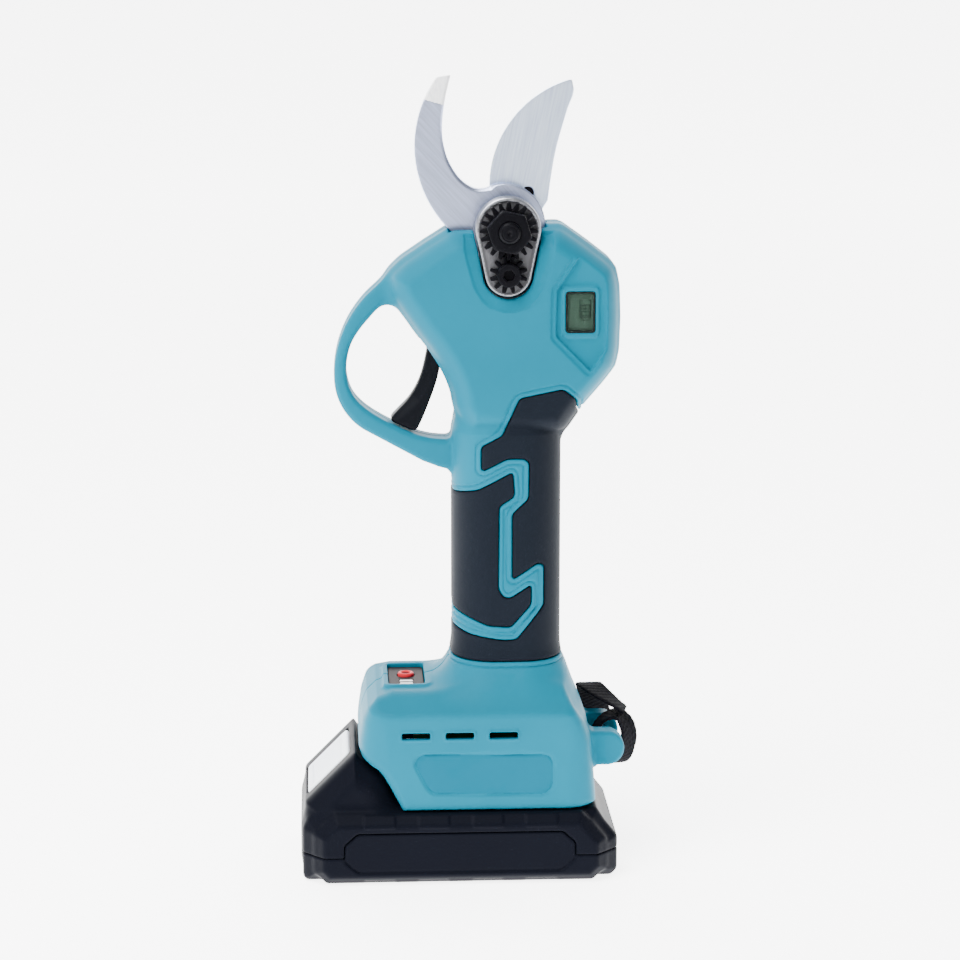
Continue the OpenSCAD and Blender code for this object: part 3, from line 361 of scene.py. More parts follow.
def object_space(m, scale=(1, 1, 1), turn=0.0):
    """Coordinates in metres, turned about Y and stretched by scale."""
    coords = node(m, "ShaderNodeTexCoord")
    mapping = node(m, "ShaderNodeMapping", vector_type="TEXTURE")
    mapping.inputs["Rotation"].default_value = (0, turn, 0)
    mapping.inputs["Scale"].default_value = [1 / c for c in scale]
    link(m, coords, "Object", mapping, "Vector")
    return mapping


def add_bump(m, height, out, strength, distance):
    """Adds a bump after the ones that the shader already has."""
    b = m.node_tree.nodes["Principled BSDF"]
    bump = node(m, "ShaderNodeBump")
    bump.inputs["Strength"].default_value = strength
    bump.inputs["Distance"].default_value = distance
    if b.inputs["Normal"].links:
        m.node_tree.links.new(b.inputs["Normal"].links[0].from_socket, bump.inputs["Normal"])
    link(m, height, out, bump, "Height")
    link(m, bump, "Normal", b, "Normal")


def add_tint(m, height, out, low, high, amount):
    """Varies the base colour by a pattern between two tints of it."""
    b = m.node_tree.nodes["Principled BSDF"]
    base = b.inputs["Base Color"].default_value[:3]
    mix = node(m, "ShaderNodeMix", data_type="RGBA")
    mix.inputs["A"].default_value = (*[c * low for c in base], 1)
    mix.inputs["B"].default_value = (*[min(c * high, 1) for c in base], 1)
    fade = node(m, "ShaderNodeMapRange")
    fade.inputs["From Min"].default_value = 0.3
    fade.inputs["From Max"].default_value = 0.7
    fade.inputs["To Min"].default_value = 0.5 - amount / 2
    fade.inputs["To Max"].default_value = 0.5 + amount / 2
    link(m, height, out, fade, "Value")
    link(m, fade, "Result", mix, "Factor")
    link(m, mix, "Result", b, "Base Color")


def add_rough(m, height, out, low, high):
    """Varies the roughness by a pattern."""
    b = m.node_tree.nodes["Principled BSDF"]
    fade = node(m, "ShaderNodeMapRange")
    fade.inputs["To Min"].default_value = low
    fade.inputs["To Max"].default_value = high
    link(m, height, out, fade, "Value")
    link(m, fade, "Result", b, "Roughness")


def noise(m, scale, detail=2.0, stretch=(1, 1, 1), turn=0.0):
    n = node(m, "ShaderNodeTexNoise")
    n.inputs["Scale"].default_value = scale
    n.inputs["Detail"].default_value = detail
    link(m, object_space(m, stretch, turn), "Vector", n, "Vector")
    return n


def moulded(name, colour, rough, grain=2600, depth=0.00006, strength=0.35, shine=0.06):
    """Moulded plastic: fine spark-eroded grain and a slow tone change."""
    peak = max(colour) * 1.1 + 0.02
    m = material(name, colour, rough, Specular_IOR_Level=shine,
                 Specular_Tint=(*[0.25 + 0.55 * c / peak for c in colour], 1))
    fine = noise(m, grain, 2)
    slow = noise(m, 22, 3)
    add_bump(m, fine, "Fac", strength, depth)
    add_tint(m, slow, "Fac", 0.93, 1.07, 0.8)
    add_rough(m, slow, "Fac", rough - 0.06, rough + 0.06)
    return m


def brushed(name, colour, rough, direction, turn=0.0, metal=1.0, scale=1500):
    """Ground steel: fine scratches along one direction, over slower streaks."""
    m = material(name, colour, rough, metal)
    lines = noise(m, scale, 3, direction, turn)
    slow = noise(m, scale / 6, 3, direction, turn)
    add_bump(m, lines, "Fac", 0.3, 0.00006)
    add_rough(m, slow, "Fac", rough - 0.08, rough + 0.12)
    add_tint(m, lines, "Fac", 0.84, 1.14, 0.9)
    return m


def linear(r, g, b):
    """An sRGB colour of 0 to 255 as linear values."""
    return tuple((c / 255 / 12.92) if c <= 10 else ((c / 255 + 0.055) / 1.055) ** 2.4 for c in (r, g, b))


M = {
    "teal": moulded("teal_plastic", (0.0005, 0.122, 0.186), 0.46, shine=0.045),
    # the label recess's floor: the same teal painted darker as shade, with a little less roughness for its smoother
    # finish
    "recess": moulded("teal_recess_painted_shade", (0.0005, 0.095, 0.15), 0.4, shine=0.04),
    "grip": moulded("soft_grip", (0.006, 0.008, 0.012), 0.62, 1800, 0.0001, 0.5),
    "battery": moulded("battery_plastic", (0.003, 0.0035, 0.006), 0.46, shine=0.045),
    "black": moulded("black_plastic", (0.004, 0.0045, 0.006), 0.42, shine=0.06),
    "dark": material("dark_inside", (0.002, 0.002, 0.003), 0.7, Specular_IOR_Level=0.1),
    "cast": moulded("cast_metal", (0.11, 0.11, 0.118), 0.42, 1100, 0.00018, 0.8, 0.3),
    # the rim of the gear head's face: a brighter metal painted on the rounded edge as highlight
    "rim": brushed("rim_painted_highlight", (0.36, 0.37, 0.4), 0.32, (1, 1, 1)),
    "blade": brushed("blade_steel", (0.66, 0.76, 1.0), 0.34, (1.0, 1.0, 0.04), 0.2),
    "hook": brushed("hook_steel", (0.44, 0.49, 0.66), 0.36, (1.0, 1.0, 0.04), -0.75),
    # the hook's ground tip is painted near-white and barely metallic as its bright glint; the bevel's slope itself
    # is real
    "bevel": brushed("ground_tip_painted_glint", (0.95, 0.97, 1.0), 0.4, (1.0, 1.0, 0.1), metal=0.1),
    "oxide": moulded("black_oxide", (0.003, 0.003, 0.004), 0.4, 1500, 0.00008, 0.4, 0.1),
    "steel": brushed("machined_steel", linear(176, 178, 182), 0.3, (1, 1, 1)),
    "zinc": brushed("zinc_screw", (0.26, 0.26, 0.28), 0.4, (1, 1, 1)),
    "bronze": brushed("sintered_bronze", linear(178, 136, 78), 0.4, (1, 1, 1)),
    "copper": brushed("winding_copper", linear(184, 102, 58), 0.35, (1, 1, 0.1)),
    "board": moulded("circuit_board", linear(28, 96, 56), 0.35, 1200, 0.00003, 0.2),
    "cells": moulded("cell_wrap", linear(64, 132, 104), 0.3),
    "holder": moulded("cell_holder", linear(214, 212, 204), 0.5),
    "nickel": brushed("nickel_strip", linear(200, 198, 190), 0.3, (1, 0.1, 1)),
    "brass": brushed("brass_contact", linear(206, 172, 100), 0.28, (1, 1, 1)),
    "white": moulded("latch_white", (0.84, 0.88, 0.96), 0.35),
    "leads": moulded("lead_insulation", linear(200, 150, 30), 0.45),
    "panel": moulded("panel_film", (0.012, 0.009, 0.01), 0.4, shine=0.02),
    "red": moulded("button_red", (0.52, 0.02, 0.03), 0.32),
    "light": moulded("light_pipe", linear(222, 222, 222), 0.35),
    "lcd": moulded("lcd_glass", (0.032, 0.06, 0.044), 0.25, 900, 0.00002, 0.1),
    "segments": material("lcd_segments", (0.001, 0.002, 0.0015), 0.5, Specular_IOR_Level=0.05),
    # a black ring at the display window's edge, painted as the recess's shadow
    "shadow_ring": moulded("lcd_ring_painted_shadow", (0.006, 0.009, 0.009), 0.4),
}
M["glass"] = material("display_glass", (0.02, 0.03, 0.025), 0.12, Alpha=0.1, Specular_IOR_Level=0.1)

# ---------------------------------------------------------------- housing and grip

STEP = 0.45


def paint(ob, mat, chosen):
    """Gives the faces whose centres are chosen another material."""
    mesh = ob.data
    mesh.materials.append(mat)
    centres = np.empty(len(mesh.polygons) * 3, np.float32)
    mesh.polygons.foreach_get("center", centres)
    c = centres.reshape(-1, 3) / MM
    index = np.where(chosen(c[:, 0], c[:, 1], c[:, 2]), len(mesh.materials) - 1, 0).astype(np.int32)
    mesh.polygons.foreach_set("material_index", index)


def housing_base(g):
    """The outside of the housing before its small details, shared by both halves."""
    u = g.x
    w = g.z - PIVOT_Z
    d_head = polygon_distance(u, w, HEAD)
    d_loop = polygon_distance(u, w, smooth_curve(LOOP, 3))
    d_core = polygon_distance(u, w, rounded(CORE, 2.5))
    guard = extruded(smax(d_head, -d_loop, 1.6), g.t, GUARD_HALF, 2.2)
    chamfer = (d_core + g.t - HEAD_HALF + 6.4) * DIAGONAL
    core = smax(smax(d_core, chamfer, 5), g.t - HEAD_HALF, 1.4)
    head = smin(core, guard, 4)
    plan = box_distance(g.x, g.t, 0, 0, HANDLE_X, HEAD_HALF, 15.5)
    handle = plan + 0.28 * np.maximum(w + 76, 0)
    handle = np.maximum(np.maximum(handle, w + 58), FOOT_TOP - 6 - g.z)
    upper = smin(head, handle, 1.2)
    h = g.z - FOOT_Z
    d_foot = polygon_distance(g.x, h, FOOT)
    d_plan = box_distance(g.x, g.t, -11.5, 0, 46.3, FOOT_HALF, 14)
    shoulder = (g.t - FOOT_HALF + (h - 37.5) * 1.5) / 1.8
    foot = smax(smax(d_foot, d_plan, 4), shoulder, 1.6)
    body = smin(upper, foot, 17)
    body = np.maximum(body, FOOT_Z - g.z)
    ear = np.minimum(np.hypot(g.x - LUG[0], g.z - LUG[1]) - 6.6,
                     box_distance(g.x, g.z, LUG[0] - 6, LUG[1], 6, 6.6))
    ears = extruded(ear, np.abs(g.t - 12.5), 4.5, 1.6)
    return smin(body, ears, 2.5)


# x, z, depth of the seat and its radius, in the far half
SCREW_SEATS = [(-31.5, PIVOT_Z - 13, 7.4, 3.3), (35, PIVOT_Z - 16.5, 7.4, 3.3),
               (33, PIVOT_Z - 50, 7.4, 3.3), (-27, PIVOT_Z - 84.6, 1.9, 3.3),
               (-50, FOOT_TOP - 14, 9.4, 3.3), (26.5, FOOT_TOP - 20, 9.4, 3.3)]


def grip_panels(u, w):
    """Distances to the upper and the lower panel of the soft grip."""
    return [polygon_distance(u, w, rounded(shape, 1.5)) for shape in (GRIP_UPPER, GRIP_LOWER)]


def housing_half(g, base, front):
    """Cuts and raises the details of one half; t is the depth from the parting plane."""
    u, w = g.x, g.z - PIVOT_Z
    f = base.copy()
    # scooped band round the gear head, sloping in to the notch
    pear = pear_distance(u, w)
    band = polygon_distance(u, w, rounded(BAND, 3))
    face = (g.t > 12) & (g.z > PIVOT_Z - 45)
    sunk = np.where(face, 0.45 * ramp(-band, -0.1, 0.5) + 0.3 * np.clip(-band, 0, 9.0), 0)
    f = f + sunk
    if front:
        d = polygon_distance(u, w, rounded(RECESS, 1.0))
        f = smax(f, -np.maximum(d - 2.0, HEAD_HALF - 0.7 - g.t), 0.35)
        f = smax(f, -np.maximum(d, HEAD_HALF - 2.0 - g.t), 0.5)
        sunk = sunk + np.where(face, 2.2 * ramp(2.0 - d, 0, 1.5), 0)
        frame_d = box_distance(u, w, LCD[0], LCD[1], 7.0, 9.7, 2.2)
        f = smin(f, np.maximum(smax(frame_d, g.t - HEAD_HALF + 1.2, 0.4), HEAD_HALF - 4 - g.t), 0.3)
        window = box_distance(u, w, LCD[0], LCD[1], 5.3, 7.5, 1.0)
        f = smax(f, -np.maximum(window, 12 - g.t), 0.7)
    for d in grip_panels(u, w):
        f = f + np.where(g.z - FOOT_TOP - 8 > 0, 0.55 * ramp(0.55 - np.abs(d - 2.1), 0, 0.4), 0)
        f = smax(f, -np.maximum(np.maximum(d - 0.3, -base - 1.9), FOOT_TOP + 9.6 - g.z), 0.4)
    # foot: vents with lips, the plain recess for a label, the panel's frame
    h = g.z - FOOT_Z
    side = g.t > 26
    for x in VENTS:
        slot_d = box_distance(u, g.z, x, VENT_Z, 5.3, 1.25, 0.4)
        f = np.where(side, f - 0.45 * ramp(1.1 - slot_d, 0, 0.6), f)
        f = smax(f, -np.maximum(slot_d, 20 - g.t), 0.4)
    label = polygon_distance(u, h, rounded(LABEL, 2.2))
    f = np.where(side, f + 0.6 * ramp(-label, 0, 0.4) + 0.5 * ramp(0.6 - np.abs(label), 0, 0.35), f)
    y = -g.t if front else g.t
    lip = box_distance(g.x, y, PANEL_X, PANEL_Y, 8.9, 16.2, 3)
    well = box_distance(g.x, y, PANEL_X, PANEL_Y, 6.9, 14.2, 1.6)
    rim = smax(smax(lip, g.z - FOOT_TOP - 0.9, 0.8), FOOT_TOP - 6 - g.z, 1)
    f = smin(f, rim, 1.6)
    f = smax(f, -np.maximum(well, np.abs(g.z - FOOT_TOP) - 3.4), 0.5)
    # openings: gear head, blades, trigger, battery rail
    f = smax(f, -np.maximum(pear - 0.5, 4 - g.t), 0.8)
    blades = polygon_distance(u, w, [(-24, 6), (-20.6, -5), (14.6, -5), (14.6, 6)])
    f = smax(f, -np.maximum(blades, g.t - 9), 0.5)
    trigger = polygon_distance(u, w, [(-33, -43), (-29.5, -35), (-29.5, -25.5), (-17.5, -25.5),
                                      (-16.2, -40), (-16.2, -66), (-20, -72), (-26, -72)])
    room = np.maximum(base + WALL + sunk, FOOT_Z + 13.1 - g.z)
    f = np.maximum(f, -room)
    f = smax(f, -np.maximum(trigger, g.t - 6.6), 0.5)
    rail = np.minimum(np.maximum(g.t - 20.4, h - 10.7), np.maximum(g.t - 24, np.abs(h - 8.15) - 2.55))
    f = smax(f, -np.maximum(rail, g.x - 30.6), 0.4)
    pin = np.hypot(g.x - LUG[0], g.z - LUG[1]) - 2.02
    f = np.maximum(f, -np.maximum(pin, g.t - 15))
    # parting line with a fine bevel, and the screw seats of the far half
    f = smax(f, 0.03 - g.t, 0.5)
    if not front:
        for x, z, seat, size in SCREW_SEATS:
            r = np.hypot(g.x - x, g.z - z)
            f = smax(f, -np.maximum(r - size, seat - g.t), 0.8)
    return f


def grip_half(g, base):
    """The soft grip: the two panels, a little proud of the housing."""
    u, w = g.x, g.z - PIVOT_Z
    d = np.minimum(*grip_panels(u, w))
    outer = base - 0.12
    f = smax(outer, d + 0.05, 0.9)
    f = np.maximum(f, -(base + 1.6))
    f = smax(f, FOOT_TOP + 10.4 - g.z, 0.7)
    return smax(f, 0.03 - g.t, 0.4)


def build_housing():
    g = Grid((-66, -0.6, FOOT_Z - 1), (46.5, FOOT_HALF + 1.2, PIVOT_Z + 1.8), (STEP, STEP, STEP))
    base = housing_base(g)
    made = {}
    for front in (True, False):
        side = "left" if front else "right"
        points, quads = surface(g, housing_half(g, base, front))
        shell = skin("housing_" + side + "_shell", points, quads, M["teal"], mirror=not front)
        # the label recess's floor is painted the darker teal as shade
        paint(shell, M["recess"], lambda x, y, z: (np.abs(y) > 26)
              & (polygon_distance(x, z - FOOT_Z, rounded(LABEL, 2.2)) < -0.3))
        made["housing_" + side] = shell
    gg = Grid((-24, -0.6, FOOT_TOP + 8), (28, 21.5, PIVOT_Z - 55), (STEP * 0.8,) * 3)
    base = housing_base(gg)
    points, quads = surface(gg, grip_half(gg, base))
    for front in (True, False):
        side = "left" if front else "right"
        made["grip_" + side] = skin("grip_" + side + "_skin", points, quads, M["grip"], mirror=not front)
    for name, ob in made.items():
        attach(ob, "tool")
        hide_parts(name)


build_housing()

# ---------------------------------------------------------------- gear head, blades and fastenings


def solid(name, low, high, step, field, mat, body, slot, replaces=None):
    """A piece from a field over a box in mm, with y as it is."""
    g = Grid(low, high, step)
    points, quads = surface(g, field(g.x, g.t, g.z))
    ob = skin(name, points, quads, mat, mirror=True)
    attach(ob, body)
    if replaces:
        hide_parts(replaces)
    return ob


def grown(low, high):
    """A box that is 1 mm larger on every side."""
    return [c - 1 for c in low], [c + 1 for c in high]


def slab(y, low, high):
    """Distance to the layer between two depths."""
    return np.abs(y - (low + high) / 2) - (high - low) / 2


def rounded_slab(d, y, low, high, r):
    return extruded(d, np.abs(y - (low + high) / 2), (high - low) / 2, r)


HOOK_INNER = smooth_curve([(-20.5, 55.3), (-22.7, 46.6), (-23.7, 38), (-23.3, 31), (-21.2, 24), (-17, 17.6),
                           (-11.5, 14.1), (-6, 14.3)], 5, closed=False)
HOOK = arc(9, 29.5, 43, 249.5, 144, 24) + [(-20.7, 55.6)] + HOOK_INNER + [(0, 10), (-2, -10)]
HOOK_GAP = HOOK_INNER + [(10, 30), (10, 60)]
BLADE_EDGE = arc(34.8, 14.4, 41, 184, 107, 24)
BLADE = BLADE_EDGE + [(24.4, 53.6), (25.2, 49.9), (24.7, 47.5)] + \
    smooth_curve([(22.9, 43.1), (18.9, 29.1), (16.8, 17.5), (15.7, 9)], 4, closed=False) + \
    [(12.6, 4.2), (0, -6), (-9, 3)]
BLADE_OUTSIDE = BLADE_EDGE + [(0, 80), (-40, 40), (-30, 0)]
SECTOR_SCREW_PLACES = [(14.3 * math.cos(math.radians(55.7)), 14.3 * math.sin(math.radians(55.7))),
                       (9 * math.cos(math.radians(235)), 9 * math.sin(math.radians(235)))]


def past_bevel(x, w):
    """Distance past the line where the hook's ground tip starts."""
    return (w - 46.9) * 0.96 + (x + 30.4) * 0.28


def hook_field(x, y, z):
    w = z - PIVOT_Z
    d = np.minimum(polygon_distance(x, w, HOOK), np.hypot(x + 0.8, w - 0.5) - 15.2)
    inner = polygon_distance(x, w, HOOK_GAP)
    front = HOOK_Y[0] - y + 0.9 * np.maximum(0.9 - inner, 0) + 0.3 * np.maximum(past_bevel(x, w), 0)
    f = smax(smax(d, y - HOOK_Y[1], 0.3), front, 0.25)
    return np.maximum(f, PIVOT_HOLE_R - np.hypot(x, w))


def blade_field(x, y, z):
    w = z - PIVOT_Z
    d = smin(polygon_distance(x, w, BLADE), np.hypot(x, w) - 13.2, 2)
    edge = polygon_distance(x, w, BLADE_OUTSIDE)
    back = y - BLADE_Y[1] + 0.62 * np.maximum(5.6 - edge, 0)
    f = smax(smax(d, BLADE_Y[0] - y, 0.25), back, 0.25)
    for sx, sz in SECTOR_SCREW_PLACES:
        f = smax(f, -np.maximum(np.hypot(x - sx, w - sz) - 2.35, y - BLADE_Y[0] - 2), 0.2)
    return np.maximum(f, PIVOT_HOLE_R - np.hypot(x, w))


def build_blades():
    hook = solid("fixed_blade_ground", (-36, HOOK_Y[0] - 0.5, PIVOT_Z - 16), (16, HOOK_Y[1] + 0.4, PIVOT_Z + 57),
                 (STEP * 0.8, 0.16, STEP * 0.8), hook_field, M["hook"], "tool", "blade_steel", "fixed_blade")
    # the ground tip past the bevel line is painted near-white as a glint
    paint(hook, M["bevel"], lambda x, y, z: past_bevel(x, z - PIVOT_Z) > 0.1)
    solid("cutting_blade_ground", (-15, BLADE_Y[0] - 0.4, PIVOT_Z - 15), (27, BLADE_Y[1] + 0.4, PIVOT_Z + 56),
          (STEP * 0.8, 0.16, STEP * 0.8), blade_field, M["blade"], "blade", "blade_steel", "cutting_blade")


def head_field(x, y, z):
    w = z - PIVOT_Z
    pear = pear_distance(x, w)
    front = HEAD_Y[0] + 0.55 * ramp(-pear, 1.3, 2.0)
    plate = smax(smax(pear, front - y, 0.9), y + 8.8, 0.5)
    collar = np.maximum(np.hypot(x, w) - 10, slab(y, -9.8, HOOK_Y[0]))
    rear = rounded_slab(pear, y, 13.2, HEAD_Y[1], 0.8)
    arms = np.maximum(box_distance(x, w, 0, -32, 8, 20, 1), np.minimum(slab(y, -14.4, -9.2), slab(y, 13.2, 15.4)))
    nose = smax(np.hypot(x, y) - 14.6, np.abs(z - (NOSE_Z[0] + NOSE_Z[1]) / 2) - (NOSE_Z[1] - NOSE_Z[0]) / 2, 0.8)
    f = np.minimum(np.minimum(smin(plate, collar, 1), np.minimum(rear, arms)), nose)
    f = np.maximum(f, PIVOT_HOLE_R - np.hypot(x, w))
    f = np.maximum(f, -np.maximum(np.hypot(x, w + LOCK_DROP) - 2.52, y + 7))
    return np.maximum(f, -(np.hypot(x, y) - 9.5))


def gear_outline(teeth, r, out, root, fill, turn=0.0):
    """Outline of a gear whose teeth narrow outwards."""
    points = []
    for i in range(teeth):
        for off, radius in ((-0.4, r - root), (-0.31, r - root * 0.6), (-0.16, r + out), (0.16, r + out),
                            (0.31, r - root * 0.6), (0.4, r - root)):
            a = math.radians(turn) + (i + off * fill * 2) * 2 * math.pi / teeth
            points.append((radius * math.cos(a), radius * math.sin(a)))
    return points


def washer_field(x, y, z):
    w = z - PIVOT_Z
    d = polygon_distance(x, w, gear_outline(20, 10, 0.8, 2.0, 0.5))
    f = rounded_slab(d, y, GEAR_Y[0], GEAR_Y[1], 0.35)
    return np.maximum(f, 4.03 - np.hypot(x, w))


def lock_field(x, y, z):
    w = z - PIVOT_Z + LOCK_DROP
    d = polygon_distance(x, w, gear_outline(12, 6, 1.0, 1.5, 0.5, 15))
    f = rounded_slab(d, y, GEAR_Y[0], GEAR_Y[1], 0.35)
    return np.maximum(f, 2.53 - np.hypot(x, w))


def hexagon(u, v, across, turn):
    """Distance to a hexagon of that width across its flats, with a corner at turn degrees."""
    best = -1e9
    for k in range(6):
        a = math.radians(turn + 30 + 60 * k)
        best = np.maximum(best, u * math.cos(a) + v * math.sin(a) - across / 2)
    return best


def nut_field(x, y, z):
    w = z - PIVOT_Z
    r = np.hypot(x, w)
    f = smax(hexagon(x, w, 14.6, 47.5), slab(y, NUT_Y[0], NUT_Y[1]), 0.35)
    f = smax(f, (r - 7.4 - (y - NUT_Y[0]) * 1.75) * 0.5, 0.3)
    return smax(f, np.minimum(4.05 - r, 4.9 - r + (y - NUT_Y[0])), 0.2)


def bolt_field(x, y, z):
    w = z - PIVOT_Z
    r = np.hypot(x, w)
    shank = smax(r - 4, slab(y, BOLT_Y[0], BOLT_Y[1] - 3), 0.3)
    shank = smax(shank, (r - 4.0 + 0.9 - (y - BOLT_Y[0])) * DIAGONAL, 0.2)
    shank = smax(shank, -(np.sqrt(r * r + (y - BOLT_Y[0] + 0.5) ** 2) - 1.1), 0.3)
    shank = smax(shank, -np.maximum(np.abs(r - 2.75) - 0.18, y - BOLT_Y[0] - 0.22), 0.15)
    cap = smax(hexagon(x, w, 13, 0), slab(y, BOLT_Y[1] - 5, BOLT_Y[1]), 0.35)
    cap = smax(cap, (r - 6.7 + (y - BOLT_Y[1]) * 1.75) * 0.5, 0.3)
    return np.minimum(shank, cap)


def socket_field(x, y, z):
    w = z - PIVOT_Z + LOCK_DROP
    r = np.hypot(x, w)
    low, high = SOCKET_Y
    cap = smax(smax(r - 4.35, slab(y, low, GEAR_Y[0]), 0.5), -np.maximum(hexagon(x, w, 4.0, 10), y - low - 1.9), 0.3)
    return np.minimum(cap, np.maximum(r - 2.5, slab(y, low + 1.95, high)))


def fitting(name, half, depths, drop, field, replaces):
    """A black steel piece on the gear head, in a square box centred drop below the pivot."""
    z = PIVOT_Z - drop
    solid(name, (-half, depths[0] - 0.5, z - half), (half, depths[1] + 0.5, z + half), (0.2, 0.2, 0.2),
          field, M["oxide"], "tool", "black_oxide", replaces)


def build_head():
    head = solid("gear_head_cast", (-15.5, HEAD_Y[0] - 0.8, NOSE_Z[0] - 0.8), (15.5, HEAD_Y[1] + 0.8, PIVOT_Z + 13),
                 (STEP * 0.8, STEP * 0.8, STEP * 0.8), head_field, M["cast"], "tool", "cast_aluminium", "gear_head")

    # The rounded edge of the pear face is painted a brighter metal as highlight, wider over the top where the light
    # falls.
    def rim(x, y, z):
        edge = pear_distance(x, z - PIVOT_Z)
        return (edge > -0.9 - 0.5 * (z > PIVOT_Z + 4)) & (y < -8) & (z > PIVOT_Z - 26)
    paint(head, M["rim"], rim)
    fitting("lock_washer_teeth", 11.4, GEAR_Y, 0, washer_field, "lock_washer")
    fitting("lock_pinion_teeth", 7.5, GEAR_Y, LOCK_DROP, lock_field, "lock_pinion")
    fitting("pivot_nut_hexagon", 8.8, NUT_Y, 0, nut_field, "pivot_nut")
    fitting("pivot_bolt_body", 8, BOLT_Y, 0, bolt_field, "pivot_bolt")
    fitting("lock_screw_body", 4.8, SOCKET_Y, LOCK_DROP, socket_field, "lock_screw")


build_blades()
build_head()

# ---------------------------------------------------------------- trigger

TRIGGER = smooth_curve([(-28.4, -36), (-30.0, -47), (-32.4, -56.6), (-36.2, -63.8), (-40.9, -69.0), (-43.0, -71.4),
                        (-42.9, -73.1), (-39, -74.9), (-34.3, -76.6), (-32.2, -74), (-29.2, -66.9),
                        (-26, -58), (-24.2, -50), (-22, -42), (-21.6, -36)], 4)
TRIGGER_PIN = (centre("trigger_pin", 0), centre("trigger_pin", 2))


def trigger_field(x, y, z):
    w = z - PIVOT_Z
    d = polygon_distance(x, w, TRIGGER)
    t = np.abs(y)
    front = polygon_distance(x, w, [(-26.6, -30), (-28.2, -47), (-30.2, -56.6), (-34.4, -63.8), (-40.5, -69.2),
                                    (-43, -71.4), (-60, -71.4), (-60, -30)])
    chamfer = (t - 6 + 2.4 - front * 0.8) * 0.75
    f = smax(smax(smax(d, t - 6, 1.6), chamfer, 1.2), d, 0.5)
    r = np.hypot(x - TRIGGER_PIN[0], z - TRIGGER_PIN[1])
    f = smin(f, smax(r - 4.6, t - 6, 0.8), 1)
    f = np.maximum(f, 1.55 - r)
    f = np.maximum(f, -np.maximum(r - 3.9, 2 - y))
    return np.maximum(f, -np.maximum(np.hypot(x + 24.2, w + 51) - 2.02, t - 2))


def build_trigger():
    low, high = box_mm("trigger")
    solid("trigger_lever", (low[0] - 1, low[1] - 1, low[2] - 2), (high[0] + 1, high[1] + 1, high[2] + 1),
          (STEP * 0.8,) * 3, trigger_field, M["black"], "trigger", "black_plastic", "trigger")


build_trigger()

# ---------------------------------------------------------------- battery

BAT_Y = BATTERY_LOW[1][1]
MIDDLE = [(-78, 1.5), (-76.5, 0), (38.6, 0), (41, 2.4), (41, 15.8), (36.2, 21.8), (33, BODY_TOP),
          (-66, BODY_TOP), (-75.6, 24.6), (-78, 20.5)]
SIDE = [(-73.5, 4.6), (-69.2, 0), (31.4, 0), (36.3, 4.8), (36.3, 16.5), (29.6, 24.6), (27, BODY_TOP),
        (-66, BODY_TOP), (-70, 23.6), (-73.5, 19.6)]
HEX = [(-62.3, 9.6), (-57.3, 5.2), (19.5, 5.2), (24.6, 9.8), (24.6, 15.9), (19.7, 20.4), (-57.3, 20.4), (-62.3, 16)]
TOWER = [(-77, 8), (-77, 29.4), (-58.4, FOOT_Z + 20.8), (-57.6, FOOT_Z + 20.8), (-56.6, FOOT_Z + 19),
         (-53.2, FOOT_Z + 16.2), (-48.4, FOOT_Z + 13.2), (-45.6, FOOT_Z + 8.4), (-41.3, BODY_TOP), (-41.3, 8)]
TABS = [(-54.9, -43.3), (-34.3, -23.1), (-14, -2.8), (5.9, 17.6)]


def on_slope(x, z):
    """Places along the slope of the battery's front, and out from it."""
    a, b = (x + 77) * DIAGONAL, (z - 29.4) * DIAGONAL
    return a + b, b - a


def battery_base(x, t, z):
    d_middle = polygon_distance(x, z, rounded(MIDDLE, 1.2))
    middle = smax(smax(d_middle, t - 33.3, 1.2), (d_middle + t - 33.3 + 4.5) * DIAGONAL, 1)
    d_side = polygon_distance(x, z, rounded(SIDE, 1.0))
    side = smax(smax(d_side, t - BAT_Y, 0.8), (d_side + t - BAT_Y + 3.6) * DIAGONAL, 0.9)
    d_tower = polygon_distance(x, z, rounded(TOWER, 1.0))
    tower = smax(smax(d_tower, t - 31.3, 1.2), (d_tower + t - 31.3 + 6.5) * DIAGONAL, 2.2)
    return smin(smin(middle, side, 1.6), tower, 4)


def battery_field(x, t, z):
    """The whole battery with its grooves, marks, rail and latch well; t is the distance from the middle."""
    base = battery_base(x, t, z)
    f = base
    hexagon_d = polygon_distance(x, z, rounded(HEX, 1.0))
    on_side = t > 33
    f = np.where(on_side, f + 0.45 * ramp(-hexagon_d, -0.1, 0.3) + 0.6 * ramp(0.45 - np.abs(hexagon_d), 0, 0.3), f)
    for a, b in TABS:
        mark = box_distance(x, z, (a + b) / 2, 24.6, (b - a) / 2, 1.9, 0.2)
        f = np.where(on_side, f - 0.3 * ramp(0.3 - mark, 0, 0.25), f)
        low = box_distance(x, z, (a + b) / 2, 0.4, (b - a) / 2, 1.3, 0.2)
        f = np.where(on_side, f + 0.3 * ramp(0.25 - low, 0, 0.25), f)
    rail = np.minimum(np.maximum(np.maximum(t - 20, z - FOOT_Z - 10.2), BODY_TOP - 1 - z),
                      np.maximum(t - 23.6, np.abs(z - FOOT_Z - 8.05) - 2.15))
    rail = smax(rail, np.abs(x + 7) - 37, 0.6)
    f = np.minimum(f, rail)
    for y in (0, 8):
        f = np.maximum(f, -np.maximum(np.abs(t - y) - 1, np.maximum(8 - x, BODY_TOP - z)))
    # well for the latch on the slope
    along, out = on_slope(x, z)
    well = box_distance(along, t, 12.4, 0, 11.4, 16.6, 2)
    f = smax(f, -np.maximum(well, -2.4 - out), 0.8)
    room = np.maximum(base + 2.4, np.maximum(t - 32, z - BODY_TOP + 2.4))
    f = np.maximum(f, -room)
    return f, hexagon_d


